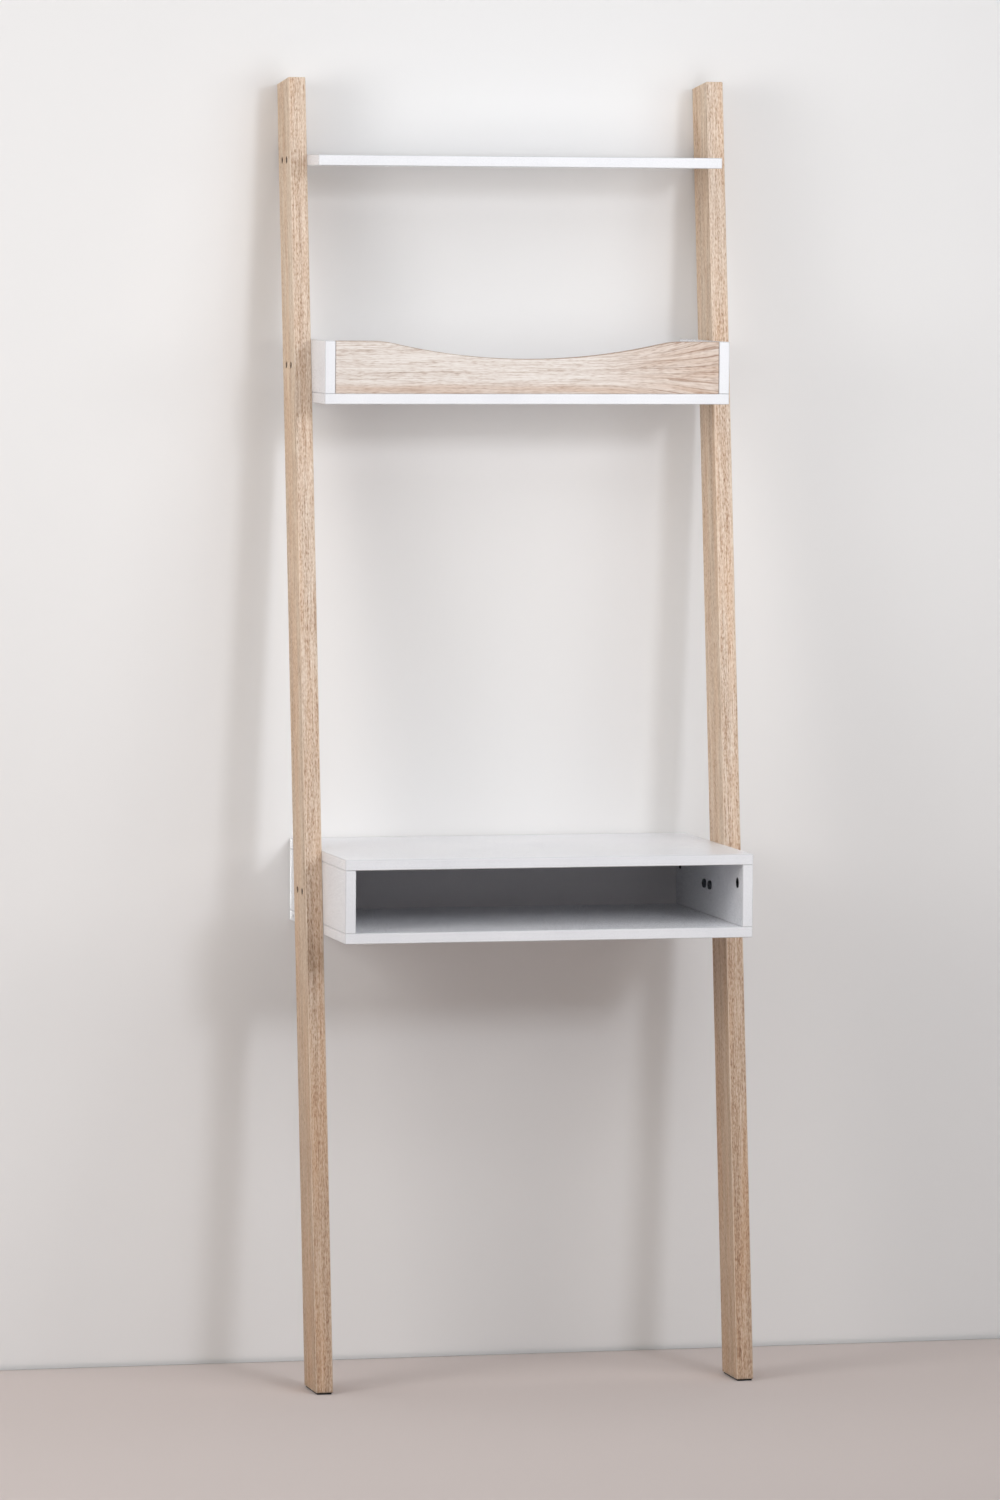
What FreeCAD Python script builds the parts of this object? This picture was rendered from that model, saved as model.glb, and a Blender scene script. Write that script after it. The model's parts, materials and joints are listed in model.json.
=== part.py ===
"""A leaning ladder desk: two oak-effect rails, a desk box, a scalloped tray and a top shelf.

The origin is on the floor, midway between the rails and midway between the desk's front and the wall.
+X runs to the right of someone facing the desk, +Y runs to the wall and +Z is up.
"""
import FreeCAD, Part
import os
import re
import Sketcher
from FreeCAD import Vector

# Driving dimensions: millimetres, and degrees for the lean.
SIZES = {
    # the whole desk
    "height": 1850,
    "lean": 7,
    "box_width": 590,
    "board": 15,
    "board_arris": 0.8,
    # rails and their feet
    "rail_depth": 75,
    "rail_thickness": 25,
    "rail_round": 1.5,
    "pad_thickness": 2,
    "pad_margin": 2,
    # desk box, measured to its top face
    "desk_height": 760,
    "desk_depth": 360,
    "desk_side_height": 88,
    "back_thickness": 3,
    "back_setback": 5,
    "groove_depth": 4,
    "end_hole_diameter": 5,
    "end_hole_depth": 12,
    "end_hole_inset": 25,
    # top shelf, its top face measured down from the rails' tops
    "shelf_drop": 110,
    "shelf_depth": 164,
    # tray, its underside measured down from the shelf's top face
    "tray_drop": 350,
    "tray_depth": 212,
    "tray_side_height": 74,
    "front_thickness": 15,
    "front_reveal": 0.5,
    "dip_width": 450,
    "dip_depth": 25,
    "dip_shoulder": 130,
    # bolts through the rails, with the nuts that they screw into
    "bolt_spacing": 29,
    "bolt_diameter": 6,
    "bolt_head_diameter": 10,
    "bolt_head_height": 5,
    "bolt_recess": 1,
    "bolt_past": 2,
    "socket_size": 5,
    "socket_depth": 2.5,
    "nut_flange_diameter": 13,
    "nut_flange_height": 3.5,
    "nut_flange_bevel": 1,
    "nut_sleeve_diameter": 9,
    "nut_sleeve_length": 12,
    "barrel_diameter": 10,
    "barrel_length": 11,
    "barrel_setback": 25,
    "barrel_slot_width": 1.5,
    "barrel_slot_depth": 1,
    # cam locks and their pins
    "cam_diameter": 15,
    "cam_depth": 12,
    "cam_drop": 28,
    "cam_inset": 28,
    "cam_slot_length": 9,
    "cam_slot_width": 2,
    "cam_slot_depth": 2,
    "pin_diameter": 7,
    "pin_neck_diameter": 4.5,
    "pin_neck_length": 4,
    "pin_head_length": 3,
    "pin_bite": 11,
    # wood dowels
    "dowel_diameter": 8,
    "dowel_length": 30,
    "dowel_bite": 10,
    "dowel_bevel": 1,
    "desk_dowel_inset": 75,
    "tray_dowel_inset": 70,
    "front_dowel_inset": 20,
    # panel screws driven up through the bottom boards
    "screw_diameter": 6,
    "screw_head_diameter": 9.5,
    "screw_head_height": 3,
    "screw_head_rim": 1,
    "screw_length": 50,
    "screw_point": 4,
    "screw_socket_size": 4,
    "screw_socket_depth": 2,
    "desk_screw_inset": 45,
    "tray_screw_inset": 40,
    "front_screw_offset": 140,
    # wall brackets under the desk box
    "bracket_leg": 30,
    "bracket_width": 18,
    "bracket_thickness": 2,
    "bracket_bend": 3,
    "bracket_offset": 200,
    "bracket_hole_diameter": 4.5,
    "bracket_hole_reach": 19,
    "bracket_screw_diameter": 3.5,
    "bracket_screw_length": 12,
    "bracket_screw_head_diameter": 7,
    "bracket_screw_head_height": 2,
    "bracket_screw_point": 2,
    # clearance round and beyond every fastener, and the overrun of open cuts
    "fit_gap": 0.15,
    "cut_overrun": 5,
}

# Places worked out from the sizes. Rear edges of the boards stand on the wall plane.
PLACES = {
    "wall": "desk_depth / 2",
    "half_box": "box_width / 2",
    "rail_outside": "half_box + rail_thickness",
    "panel_middle": "half_box - board / 2",
    "panel_inside": "half_box - board",
    "rail_top_front": "wall - rail_depth * cos(lean)",
    "rail_top_rear": "height - rail_depth * sin(lean)",
    "foot_length": "rail_depth / cos(lean)",
    "foot_front": "rail_top_front - (height - pad_thickness) * tan(lean)",
    "rail_top_middle": "rail_top_front + foot_length / 2",
    "shelf_height": "height - shelf_drop",
    "tray_level": "shelf_height - tray_drop",
    "desk_bottom_level": "desk_height - 2 * board - desk_side_height",
    "shelf_bolt_level": "shelf_height - board / 2",
    "tray_bolt_level": "tray_level + board + tray_side_height / 2",
    "desk_bolt_level": "desk_height - board - desk_side_height / 2",
    "shelf_bolt_line": "rail_top_middle - (height - shelf_bolt_level) * tan(lean)",
    "tray_bolt_line": "rail_top_middle - (height - tray_bolt_level) * tan(lean)",
    "desk_bolt_line": "rail_top_middle - (height - desk_bolt_level) * tan(lean)",
    "shelf_bolt_bore": "barrel_setback + barrel_diameter / 2 + bolt_past",
    "front_half": "panel_inside - front_reveal",
    "dip_turn": "2 * atan(2 * dip_depth / dip_width)",
    "dip_radius": "dip_width / 2 / sin(dip_turn) - dip_shoulder",
    "dip_low": "tray_side_height - dip_depth",
}

SIDES = ("left", "right")
LEVELS = ("shelf", "tray", "desk")
SIGNS = ("-", "")

doc = FreeCAD.newDocument("ladder_desk")
sheet = doc.addObject("Spreadsheet::Sheet", "Sizes")
bodies = []


def write_sheet():
    """Puts each driving dimension in a cell that has its name."""
    for row, (name, number) in enumerate(SIZES.items(), start=1):
        cell = f"A{row}"
        sheet.set(cell, str(number))
        sheet.setAlias(cell, name)
    doc.recompute()


def spelled(formula):
    """Spells out a formula of sizes and places as an expression on the sheet."""
    def word(found):
        name = found.group(0)
        if name in PLACES:
            return f"({spelled(PLACES[name])})"
        return f"Sizes.{name}" if name in SIZES else name
    return re.sub(r"[a-z_]+", word, formula)


def value(formula):
    """The number that a formula comes to."""
    return float(sheet.evalExpression(spelled(formula)))


def bind(thing, prop, formula):
    """Ties a property to a formula."""
    thing.setExpression(prop, spelled(formula))


def new_body(label, x="0", y="0", z="0"):
    """Starts a piece whose own origin is at a place in the desk's frame."""
    body = doc.addObject("PartDesign::Body", label)
    for axis, formula in zip("xyz", (x, y, z)):
        bind(body, f"Placement.Base.{axis}", formula)
    bodies.append(body)
    return body


def datum(body, role):
    """An axis or plane of a body's own origin."""
    return next(item for item in body.Origin.OriginFeatures if item.Role == role)


def sketch_on(body, role, level="0"):
    """Starts a sketch on a plane of the body's origin, moved along its normal to a level."""
    sketch = body.newObject("Sketcher::SketchObject", "Outline")
    sketch.AttachmentSupport = [(datum(body, role), "")]
    sketch.MapMode = "FlatFace"
    bind(sketch, "AttachmentOffset.Base.z", level)
    return sketch


def hold(sketch, edge, end, place):
    """Holds one point of a sketch at a place, on an axis where the formula is nought."""
    for kind, axis, formula in zip(("DistanceX", "DistanceY"), (-2, -1), place):
        if formula == "0":
            sketch.addConstraint(Sketcher.Constraint("PointOnObject", edge, end, axis))
        else:
            rule = Sketcher.Constraint(kind, -1, 1, edge, end, value(formula))
            bind(sketch, f"Constraints[{sketch.addConstraint(rule)}]", formula)


def point(place):
    """A sketch point at a place."""
    return Vector(*(value(formula) for formula in place), 0)


def polygon(sketch, corners):
    """Draws a closed outline of straight lines through held corners."""
    first = sketch.GeometryCount
    ends = corners[1:] + corners[:1]
    for here, there in zip(corners, ends):
        sketch.addGeometry(Part.LineSegment(point(here), point(there)), False)
    for step, corner in enumerate(corners):
        after = first + (step + 1) % len(corners)
        sketch.addConstraint(Sketcher.Constraint("Coincident", first + step, 2, after, 1))
        hold(sketch, first + step, 1, corner)
    return sketch


def rectangle(sketch, low, high):
    """Draws a rectangle between two held corners."""
    return polygon(sketch, [low, (high[0], low[1]), high, (low[0], high[1])])


def hexagon(sketch, across):
    """Draws a hexagon of a width across its flats round the sketch's origin."""
    corner, shoulder, flat = f"{across} / sqrt(3)", f"{across} / sqrt(3) / 2", f"{across} / 2"
    return polygon(sketch, [(corner, "0"), (shoulder, flat), (f"-{shoulder}", flat), (f"-{corner}", "0"),
                            (f"-{shoulder}", f"-{flat}"), (shoulder, f"-{flat}")])


def circles(sketch, centres, diameter):
    """Draws a circle of one diameter round each held centre."""
    for centre in centres:
        edge = sketch.addGeometry(Part.Circle(point(centre), Vector(0, 0, 1), value(diameter) / 2), False)
        hold(sketch, edge, 3, centre)
        rule = sketch.addConstraint(Sketcher.Constraint("Diameter", edge, value(diameter)))
        bind(sketch, f"Constraints[{rule}]", diameter)
    return sketch


def pad(body, sketch, length):
    """Raises a sketch along its normal."""
    feature = body.newObject("PartDesign::Pad", "Raised")
    feature.Profile = sketch
    bind(feature, "Length", length)
    doc.recompute()
    return feature


def cut(body, sketch, depth=None, forward=False):
    """Cuts a sketch into its body, against its normal or forward along it; with no depth, right through."""
    before = body.Shape.Volume
    feature = body.newObject("PartDesign::Pocket", "Cut")
    feature.Profile = sketch
    feature.Reversed = forward
    if depth is None:
        feature.Type = "ThroughAll"
    else:
        bind(feature, "Length", depth)
    doc.recompute()
    if not body.Shape.Volume < before:
        raise RuntimeError(f"a cut in {body.Label} takes nothing away")
    return feature


def holes(body, role, level, centres, diameter, depth=None, forward=False):
    """Drills round holes from a level of one of the body's planes, wider than what they hold."""
    wide = f"{diameter} + 2 * fit_gap"
    return cut(body, circles(sketch_on(body, role, level), centres, wide), depth, forward)


def turn(body, sketch, axis):
    """Turns a half profile about an axis of its sketch."""
    feature = body.newObject("PartDesign::Revolution", "Turned")
    feature.Profile = sketch
    feature.ReferenceAxis = (sketch, [axis])
    doc.recompute()
    return feature


def soften(body, kind, prop, size):
    """Bevels or rounds every edge of a body."""
    blank = body.Tip
    feature = body.newObject(kind, "Edges")
    feature.Base = (blank, [""])
    feature.UseAllEdges = True
    bind(feature, prop, size)
    doc.recompute()


def spread(body, features, *steps):
    """Repeats features: each step is an axis with a distance, or a plane to mirror in."""
    group = body.newObject("PartDesign::MultiTransform", "Set")
    moves = []
    for role, distance in steps:
        if distance:
            move = body.newObject("PartDesign::LinearPattern", "Row")
            move.Direction = (datum(body, role), [""])
            move.Occurrences = 2
            bind(move, "Length", distance)
        else:
            move = body.newObject("PartDesign::Mirrored", "Other_side")
            move.MirrorPlane = (datum(body, role), [""])
        moves.append(move)
    group.Originals = features
    group.Transformations = moves
    body.Tip = group
    doc.recompute()


# Shared layouts: boards lie with their rear edge on their own X axis.

def both_ends(depth, inset):
    """Places along a board at one distance from its rear and its front edge."""
    return f"-{inset}", f"{inset} - {depth}"


def over_panels(depth, inset):
    """Places on a flat board over the middle of both side panels."""
    return [(f"{sign}(panel_middle)", y) for sign in SIGNS for y in both_ends(depth, inset)]


def bolt_pair(level, rear="0"):
    """Where the two bolts of a level lie along the depth, measured from a rear plane."""
    return [f"{level}_bolt_line {sign} bolt_spacing / 2 - {rear}" for sign in "-+"]


def flat_board(label, depth, level):
    """A level white board between the rails, its rear edge on the wall plane."""
    body = new_body(label, y="wall", z=level)
    sketch = rectangle(sketch_on(body, "XY_Plane"), ("-half_box", f"-{depth}"), ("half_box", "0"))
    pad(body, sketch, "board")
    soften(body, "PartDesign::Chamfer", "Size", "board_arris")
    return body


def side_panel(label, side, depth, tall, level):
    """An upright white panel, standing flush with the ends of the board under it."""
    body = new_body(label, x="-half_box" if side == "left" else "panel_inside", y="wall", z=level)
    sketch = rectangle(sketch_on(body, "YZ_Plane"), (f"-{depth}", "0"), ("0", tall))
    pad(body, sketch, "board")
    soften(body, "PartDesign::Chamfer", "Size", "board_arris")
    return body


def inside_face(side):
    """The level of a side panel's inner face, and whether cuts from it run along +X."""
    return {"level": "board" if side == "left" else "0", "forward": side == "right"}


def groove_span():
    """The front and rear of the back panel's groove."""
    return "-(back_setback + back_thickness + fit_gap)", "fit_gap - back_setback"


# Rails and feet

def make_rail(side):
    """A rail, cut level at its foot and square at its top, with its bolts sunk in its outer face."""
    left = side == "left"
    body = new_body(f"{side}_rail", x="-rail_outside" if left else "half_box")
    corners = [("foot_front", "pad_thickness"), ("foot_front + foot_length", "pad_thickness"),
               ("wall", "rail_top_rear"), ("rail_top_front", "height")]
    pad(body, polygon(sketch_on(body, "YZ_Plane"), corners), "rail_thickness")
    soften(body, "PartDesign::Fillet", "Radius", "rail_round")
    spots = [(y, f"{level}_bolt_level") for level in LEVELS for y in bolt_pair(level)]
    outer = "0" if left else "rail_thickness"
    holes(body, "YZ_Plane", outer, spots, "bolt_head_diameter", "bolt_head_height + bolt_recess", left)
    holes(body, "YZ_Plane", outer, spots, "bolt_diameter", forward=left)


def make_foot_pad(side):
    """A thin pad under a rail's foot."""
    body = new_body(f"{side}_foot_pad", x="-rail_outside" if side == "left" else "half_box", y="foot_front")
    low = ("pad_margin", "pad_margin")
    high = ("rail_thickness - pad_margin", "foot_length - pad_margin")
    pad(body, rectangle(sketch_on(body, "XY_Plane"), low, high), "pad_thickness")


# Top shelf

def make_top_shelf():
    """The top board, bored at its ends for the bolts and from below for their barrel nuts."""
    body = flat_board("top_shelf", "shelf_depth", "shelf_height - board")
    rows = bolt_pair("shelf", "wall")
    for sign in SIGNS:
        spots = [(y, "board / 2") for y in rows]
        holes(body, "YZ_Plane", f"{sign}half_box", spots, "bolt_diameter", "shelf_bolt_bore + fit_gap",
              sign == "-")
    nuts = [(f"{sign}(half_box - barrel_setback)", y) for sign in SIGNS for y in rows]
    holes(body, "XY_Plane", "0", nuts, "barrel_diameter", "(board + barrel_length) / 2 + fit_gap", True)


# Tray

def make_tray_bottom():
    """The tray's bottom board, bored for the screws and dowels of its sides and front."""
    body = flat_board("tray_bottom", "tray_depth", "tray_level")
    fronts = [(f"{sign}front_screw_offset", "front_thickness / 2 - tray_depth") for sign in SIGNS]
    screws = over_panels("tray_depth", "tray_screw_inset") + fronts
    holes(body, "XY_Plane", "0", screws, "screw_head_diameter", "screw_head_height", True)
    holes(body, "XY_Plane", "0", screws, "screw_diameter", forward=True)
    dowels = over_panels("tray_depth", "tray_dowel_inset")
    holes(body, "XY_Plane", "board", dowels, "dowel_diameter", "dowel_bite + fit_gap")


def make_tray_side(side):
    """A tray side, bored for its cap nuts, for screws and dowels from below and for the front's dowels."""
    body = side_panel(f"tray_{side}_side", side, "tray_depth", "tray_side_height", "tray_level + board")
    nuts = [(y, "tray_side_height / 2") for y in bolt_pair("tray", "wall")]
    holes(body, "YZ_Plane", "0", nuts, "nut_sleeve_diameter", forward=True)
    bore_lower_edge(body, "tray")
    fronts = [("front_thickness / 2 - tray_depth", z)
              for z in ("front_dowel_inset", "tray_side_height - front_dowel_inset")]
    holes(body, "YZ_Plane", centres=fronts, diameter="dowel_diameter", depth="dowel_bite + fit_gap",
          **inside_face(side))


def bore_lower_edge(body, box):
    """Bores a side panel's lower edge for the screws and dowels that come up through its bottom board."""
    screws = [("board / 2", y) for y in both_ends(f"{box}_depth", f"{box}_screw_inset")]
    holes(body, "XY_Plane", "0", screws, "screw_diameter", "screw_length - board + fit_gap", True)
    dowels = [("board / 2", y) for y in both_ends(f"{box}_depth", f"{box}_dowel_inset")]
    holes(body, "XY_Plane", "0", dowels, "dowel_diameter", "dowel_length - dowel_bite + fit_gap", True)


def dipped_outline(sketch):
    """Draws the tray's front: level shoulders that turn down in an arc into one long shallow hollow."""
    top = "tray_side_height"
    turn_x = "(dip_width / 2 - dip_shoulder * sin(dip_turn))"
    turn_z = f"({top} - dip_shoulder * (1 - cos(dip_turn)))"
    half_x = "(dip_width / 2 - dip_shoulder * sin(dip_turn / 2))"
    half_z = f"({top} - dip_shoulder * (1 - cos(dip_turn / 2)))"
    corners = [("-front_half", "0"), ("front_half", "0"), ("front_half", top), ("dip_width / 2", top),
               (turn_x, turn_z), (f"-{turn_x}", turn_z), ("-dip_width / 2", top), ("-front_half", top)]
    arcs = {3: ((half_x, half_z), "dip_shoulder", False), 4: (("0", "dip_low"), "dip_radius", True),
            5: ((f"-{half_x}", half_z), "dip_shoulder", False)}
    edges = []
    for step, here in enumerate(corners):
        there = corners[(step + 1) % len(corners)]
        middle, radius, hollow = arcs.get(step, (None, None, False))
        start, end = (there, here) if hollow else (here, there)
        if middle:
            edge = sketch.addGeometry(Part.Arc(point(start), point(middle), point(end)), False)
            rule = sketch.addConstraint(Sketcher.Constraint("Radius", edge, value(radius)))
            bind(sketch, f"Constraints[{rule}]", radius)
        else:
            edge = sketch.addGeometry(Part.LineSegment(point(start), point(end)), False)
        edges.append((edge, 2, 1) if hollow else (edge, 1, 2))
    for step, (edge, start, end) in enumerate(edges):
        after, after_start, _ = edges[(step + 1) % len(edges)]
        sketch.addConstraint(Sketcher.Constraint("Coincident", edge, end, after, after_start))
        hold(sketch, edge, start, corners[step])
    return sketch


def make_tray_front():
    """The oak-effect front with its dipped top edge, between the sides and on the bottom board."""
    body = new_body("tray_front", y="wall - tray_depth + front_thickness", z="tray_level + board")
    pad(body, dipped_outline(sketch_on(body, "XZ_Plane")), "front_thickness")
    soften(body, "PartDesign::Chamfer", "Size", "board_arris")
    middle = "-front_thickness / 2"
    screws = [(f"{sign}front_screw_offset", middle) for sign in SIGNS]
    holes(body, "XY_Plane", "0", screws, "screw_diameter", "screw_length - board + fit_gap", True)
    dowels = [(middle, z) for z in ("front_dowel_inset", "tray_side_height - front_dowel_inset")]
    reach = "dowel_length - dowel_bite - front_reveal + fit_gap"
    for sign in SIGNS:
        holes(body, "YZ_Plane", f"{sign}front_half", dowels, "dowel_diameter", reach, sign == "-")


# Desk box

def groove_board(body, level, forward):
    """Cuts the back panel's groove into the inner face of the desk's top or bottom board."""
    front, rear = groove_span()
    reach = "(panel_inside + groove_depth)"
    sketch = rectangle(sketch_on(body, "XY_Plane", level), (f"-{reach}", front), (reach, rear))
    cut(body, sketch, "groove_depth", forward)


def make_desk_top():
    """The desk's top, bored from below for the cam pins and dowels and grooved for the back."""
    body = flat_board("desk_top", "desk_depth", "desk_height - board")
    pins = over_panels("desk_depth", "cam_inset")
    holes(body, "XY_Plane", "0", pins, "pin_diameter", "pin_bite + fit_gap", True)
    dowels = over_panels("desk_depth", "desk_dowel_inset")
    holes(body, "XY_Plane", "0", dowels, "dowel_diameter", "dowel_bite + fit_gap", True)
    groove_board(body, "0", True)


def make_desk_bottom():
    """The desk's bottom, bored for screws, dowels and bracket screws, with a spare hole in each end."""
    body = flat_board("desk_bottom", "desk_depth", "desk_bottom_level")
    screws = over_panels("desk_depth", "desk_screw_inset")
    holes(body, "XY_Plane", "0", screws, "screw_head_diameter", "screw_head_height", True)
    holes(body, "XY_Plane", "0", screws, "screw_diameter", forward=True)
    dowels = over_panels("desk_depth", "desk_dowel_inset")
    holes(body, "XY_Plane", "board", dowels, "dowel_diameter", "dowel_bite + fit_gap")
    brackets = [(f"{sign}bracket_offset", "-bracket_hole_reach") for sign in SIGNS]
    holes(body, "XY_Plane", "0", brackets, "bracket_screw_diameter",
          "bracket_screw_length - bracket_thickness + fit_gap", True)
    groove_board(body, "board", False)
    for sign in SIGNS:
        sketch = sketch_on(body, "YZ_Plane", f"{sign}half_box")
        circles(sketch, [("-end_hole_inset", "board / 2")], "end_hole_diameter")
        cut(body, sketch, "end_hole_depth", sign == "-")


def make_desk_side(side):
    """A desk side, bored for cam locks and their pins, dowels, screws and cap nuts, grooved for the back."""
    body = side_panel(f"desk_{side}_side", side, "desk_depth", "desk_side_height",
                      "desk_bottom_level + board")
    nuts = [(y, "desk_side_height / 2") for y in bolt_pair("desk", "wall")]
    holes(body, "YZ_Plane", "0", nuts, "nut_sleeve_diameter", forward=True)
    bore_lower_edge(body, "desk")
    cams = both_ends("desk_depth", "cam_inset")
    holes(body, "YZ_Plane", centres=[(y, "desk_side_height - cam_drop") for y in cams],
          diameter="cam_diameter", depth="cam_depth + fit_gap", **inside_face(side))
    pins = [("board / 2", y) for y in cams]
    holes(body, "XY_Plane", "desk_side_height", pins, "pin_diameter", "cam_drop")
    dowels = [("board / 2", y) for y in both_ends("desk_depth", "desk_dowel_inset")]
    holes(body, "XY_Plane", "desk_side_height", dowels, "dowel_diameter",
          "dowel_length - dowel_bite + fit_gap")
    face = inside_face(side)
    front, rear = groove_span()
    low, high = (front, "-cut_overrun"), (rear, "desk_side_height + cut_overrun")
    sketch = rectangle(sketch_on(body, "YZ_Plane", face["level"]), low, high)
    cut(body, sketch, "groove_depth", face["forward"])


def make_desk_back():
    """The thin back panel, held in grooves on all four edges."""
    body = new_body("desk_back", y="wall - back_setback", z="desk_bottom_level + board")
    bite = "(groove_depth - fit_gap)"
    low = (f"-(panel_inside + {bite})", f"-{bite}")
    high = (f"panel_inside + {bite}", f"desk_side_height + {bite}")
    pad(body, rectangle(sketch_on(body, "XZ_Plane"), low, high), "back_thickness")


# Bolts through the rails and their nuts

def make_rail_bolts(level, tip):
    """Socket-head bolts sunk in the rails' outer faces, two to a side, that end at a tip along X."""
    body = new_body(f"{level}_bolts", y=bolt_pair(level)[0], z=f"{level}_bolt_level")
    top = "(bolt_recess - rail_outside)"
    under = f"({top} + bolt_head_height)"
    profile = [(top, "0"), (top, "bolt_head_diameter / 2"), (under, "bolt_head_diameter / 2"),
               (under, "bolt_diameter / 2"), (tip, "bolt_diameter / 2"), (tip, "0")]
    shape = turn(body, polygon(sketch_on(body, "XY_Plane"), profile), "H_Axis")
    socket = cut(body, hexagon(sketch_on(body, "YZ_Plane", top), "socket_size"), "socket_depth", True)
    spread(body, [shape, socket], ("Y_Axis", "bolt_spacing"), ("YZ_Plane", None))


def make_cap_nuts(level):
    """Flanged sleeve nuts pushed through the side panels from inside, two to a side."""
    body = new_body(f"{level}_cap_nuts", y=bolt_pair(level)[0], z=f"{level}_bolt_level")
    face = "(-panel_inside)"
    crown = f"({face} + nut_flange_height)"
    tail = f"({face} - nut_sleeve_length)"
    bore = "(bolt_diameter / 2 + fit_gap)"
    profile = [(face, "0"), (crown, "0"), (crown, "nut_flange_diameter / 2 - nut_flange_bevel"),
               (f"{crown} - nut_flange_bevel", "nut_flange_diameter / 2"), (face, "nut_flange_diameter / 2"),
               (face, "nut_sleeve_diameter / 2"), (tail, "nut_sleeve_diameter / 2"), (tail, bore),
               (face, bore)]
    shape = turn(body, polygon(sketch_on(body, "XY_Plane"), profile), "H_Axis")
    socket = cut(body, hexagon(sketch_on(body, "YZ_Plane", crown), "socket_size"), "socket_depth")
    spread(body, [shape, socket], ("Y_Axis", "bolt_spacing"), ("YZ_Plane", None))


def make_barrel_nuts():
    """Cross nuts let into the shelf from below, drilled through for the shelf bolts."""
    body = new_body("shelf_barrel_nuts", x="barrel_setback - half_box", y=bolt_pair("shelf")[0],
                    z="shelf_bolt_level")
    low = "-barrel_length / 2"
    blank = pad(body, circles(sketch_on(body, "XY_Plane", low), [("0", "0")], "barrel_diameter"),
                "barrel_length")
    bore = holes(body, "YZ_Plane", "-barrel_diameter", [("0", "0")], "bolt_diameter", forward=True)
    reach = "(barrel_diameter / 2 + cut_overrun)"
    slot = rectangle(sketch_on(body, "XY_Plane", low), (f"-{reach}", "-barrel_slot_width / 2"),
                     (reach, "barrel_slot_width / 2"))
    slot = cut(body, slot, "barrel_slot_depth", True)
    spread(body, [blank, bore, slot], ("Y_Axis", "bolt_spacing"),
           ("X_Axis", "box_width - 2 * barrel_setback"))


# Cam locks, dowels and screws

def make_cam_locks():
    """Cam discs flush with the inner faces of the desk's sides, open above for their pins."""
    body = new_body("desk_cam_locks", y="wall - desk_depth + cam_inset", z="desk_height - board - cam_drop")
    blank = pad(body, circles(sketch_on(body, "YZ_Plane", "-panel_inside - cam_depth"), [("0", "0")],
                              "cam_diameter"), "cam_depth")
    channel = holes(body, "XY_Plane", "-pin_head_length / 2 - fit_gap", [("-panel_middle", "0")],
                    "pin_diameter", "cam_diameter", True)
    arm, thin = "cam_slot_length / 2", "cam_slot_width / 2"
    cross = [(f"-{arm}", f"-{thin}"), (f"-{thin}", f"-{thin}"), (f"-{thin}", f"-{arm}"), (thin, f"-{arm}"),
             (thin, f"-{thin}"), (arm, f"-{thin}"), (arm, thin), (thin, thin), (thin, arm), (f"-{thin}", arm),
             (f"-{thin}", thin), (f"-{arm}", thin)]
    slot = cut(body, polygon(sketch_on(body, "YZ_Plane", "-panel_inside"), cross), "cam_slot_depth")
    spread(body, [blank, channel, slot], ("Y_Axis", "desk_depth - 2 * cam_inset"), ("YZ_Plane", None))


def make_cam_pins():
    """Pins that screw up into the desk's top and end in a necked head inside each cam."""
    body = new_body("desk_cam_pins", x="-panel_middle", y="wall - desk_depth + cam_inset",
                    z="desk_height - board - cam_drop")
    wide, neck = "pin_diameter / 2", "pin_neck_diameter / 2"
    low, high = "-pin_head_length / 2", "pin_head_length / 2"
    shoulder, top = f"{high} + pin_neck_length", "cam_drop + pin_bite"
    profile = [("0", low), (wide, low), (wide, high), (neck, high), (neck, shoulder), (wide, shoulder),
               (wide, top), ("0", top)]
    shape = turn(body, polygon(sketch_on(body, "XZ_Plane"), profile), "V_Axis")
    spread(body, [shape], ("Y_Axis", "desk_depth - 2 * cam_inset"), ("X_Axis", "2 * panel_middle"))


def dowel_profile(start, axis_first):
    """Half the outline of a bevelled dowel that starts at a place along its axis."""
    wide, slim = "dowel_diameter / 2", "dowel_diameter / 2 - dowel_bevel"
    end = f"({start} + dowel_length)"
    line = [(start, "0"), (start, slim), (f"{start} + dowel_bevel", wide), (f"{end} - dowel_bevel", wide),
            (end, slim), (end, "0")]
    return line if axis_first else [(across, along) for along, across in line]


def make_upright_dowels(label, box, level, start):
    """Upright dowels between the side panels and a board, whose lower ends start above or below a level."""
    depth, inset = f"{box}_depth", f"{box}_dowel_inset"
    body = new_body(label, x="-panel_middle", y=f"wall - {depth} + {inset}", z=level)
    shape = turn(body, polygon(sketch_on(body, "XZ_Plane"), dowel_profile(start, False)), "V_Axis")
    spread(body, [shape], ("Y_Axis", f"{depth} - 2 * {inset}"), ("X_Axis", "2 * panel_middle"))


def make_front_dowels():
    """Dowels between the ends of the tray's front and its sides."""
    body = new_body("tray_front_dowels", y="wall - tray_depth + front_thickness / 2",
                    z="tray_level + board + front_dowel_inset")
    start = "(-panel_inside - dowel_bite)"
    shape = turn(body, polygon(sketch_on(body, "XY_Plane"), dowel_profile(start, True)), "H_Axis")
    spread(body, [shape], ("Z_Axis", "tray_side_height - 2 * front_dowel_inset"), ("YZ_Plane", None))


def make_panel_screws(label, x, y, level, *steps):
    """Panel screws driven up through a bottom board, their heads flush with its underside."""
    body = new_body(label, x=x, y=y, z=level)
    wide, slim = "screw_head_diameter / 2", "screw_diameter / 2"
    profile = [("0", "0"), (wide, "0"), (wide, "screw_head_rim"), (slim, "screw_head_height"),
               (slim, "screw_length - screw_point"), ("0", "screw_length")]
    shape = turn(body, polygon(sketch_on(body, "XZ_Plane"), profile), "V_Axis")
    socket = cut(body, hexagon(sketch_on(body, "XY_Plane"), "screw_socket_size"), "screw_socket_depth", True)
    spread(body, [shape, socket], *steps)


# Wall brackets

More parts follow.
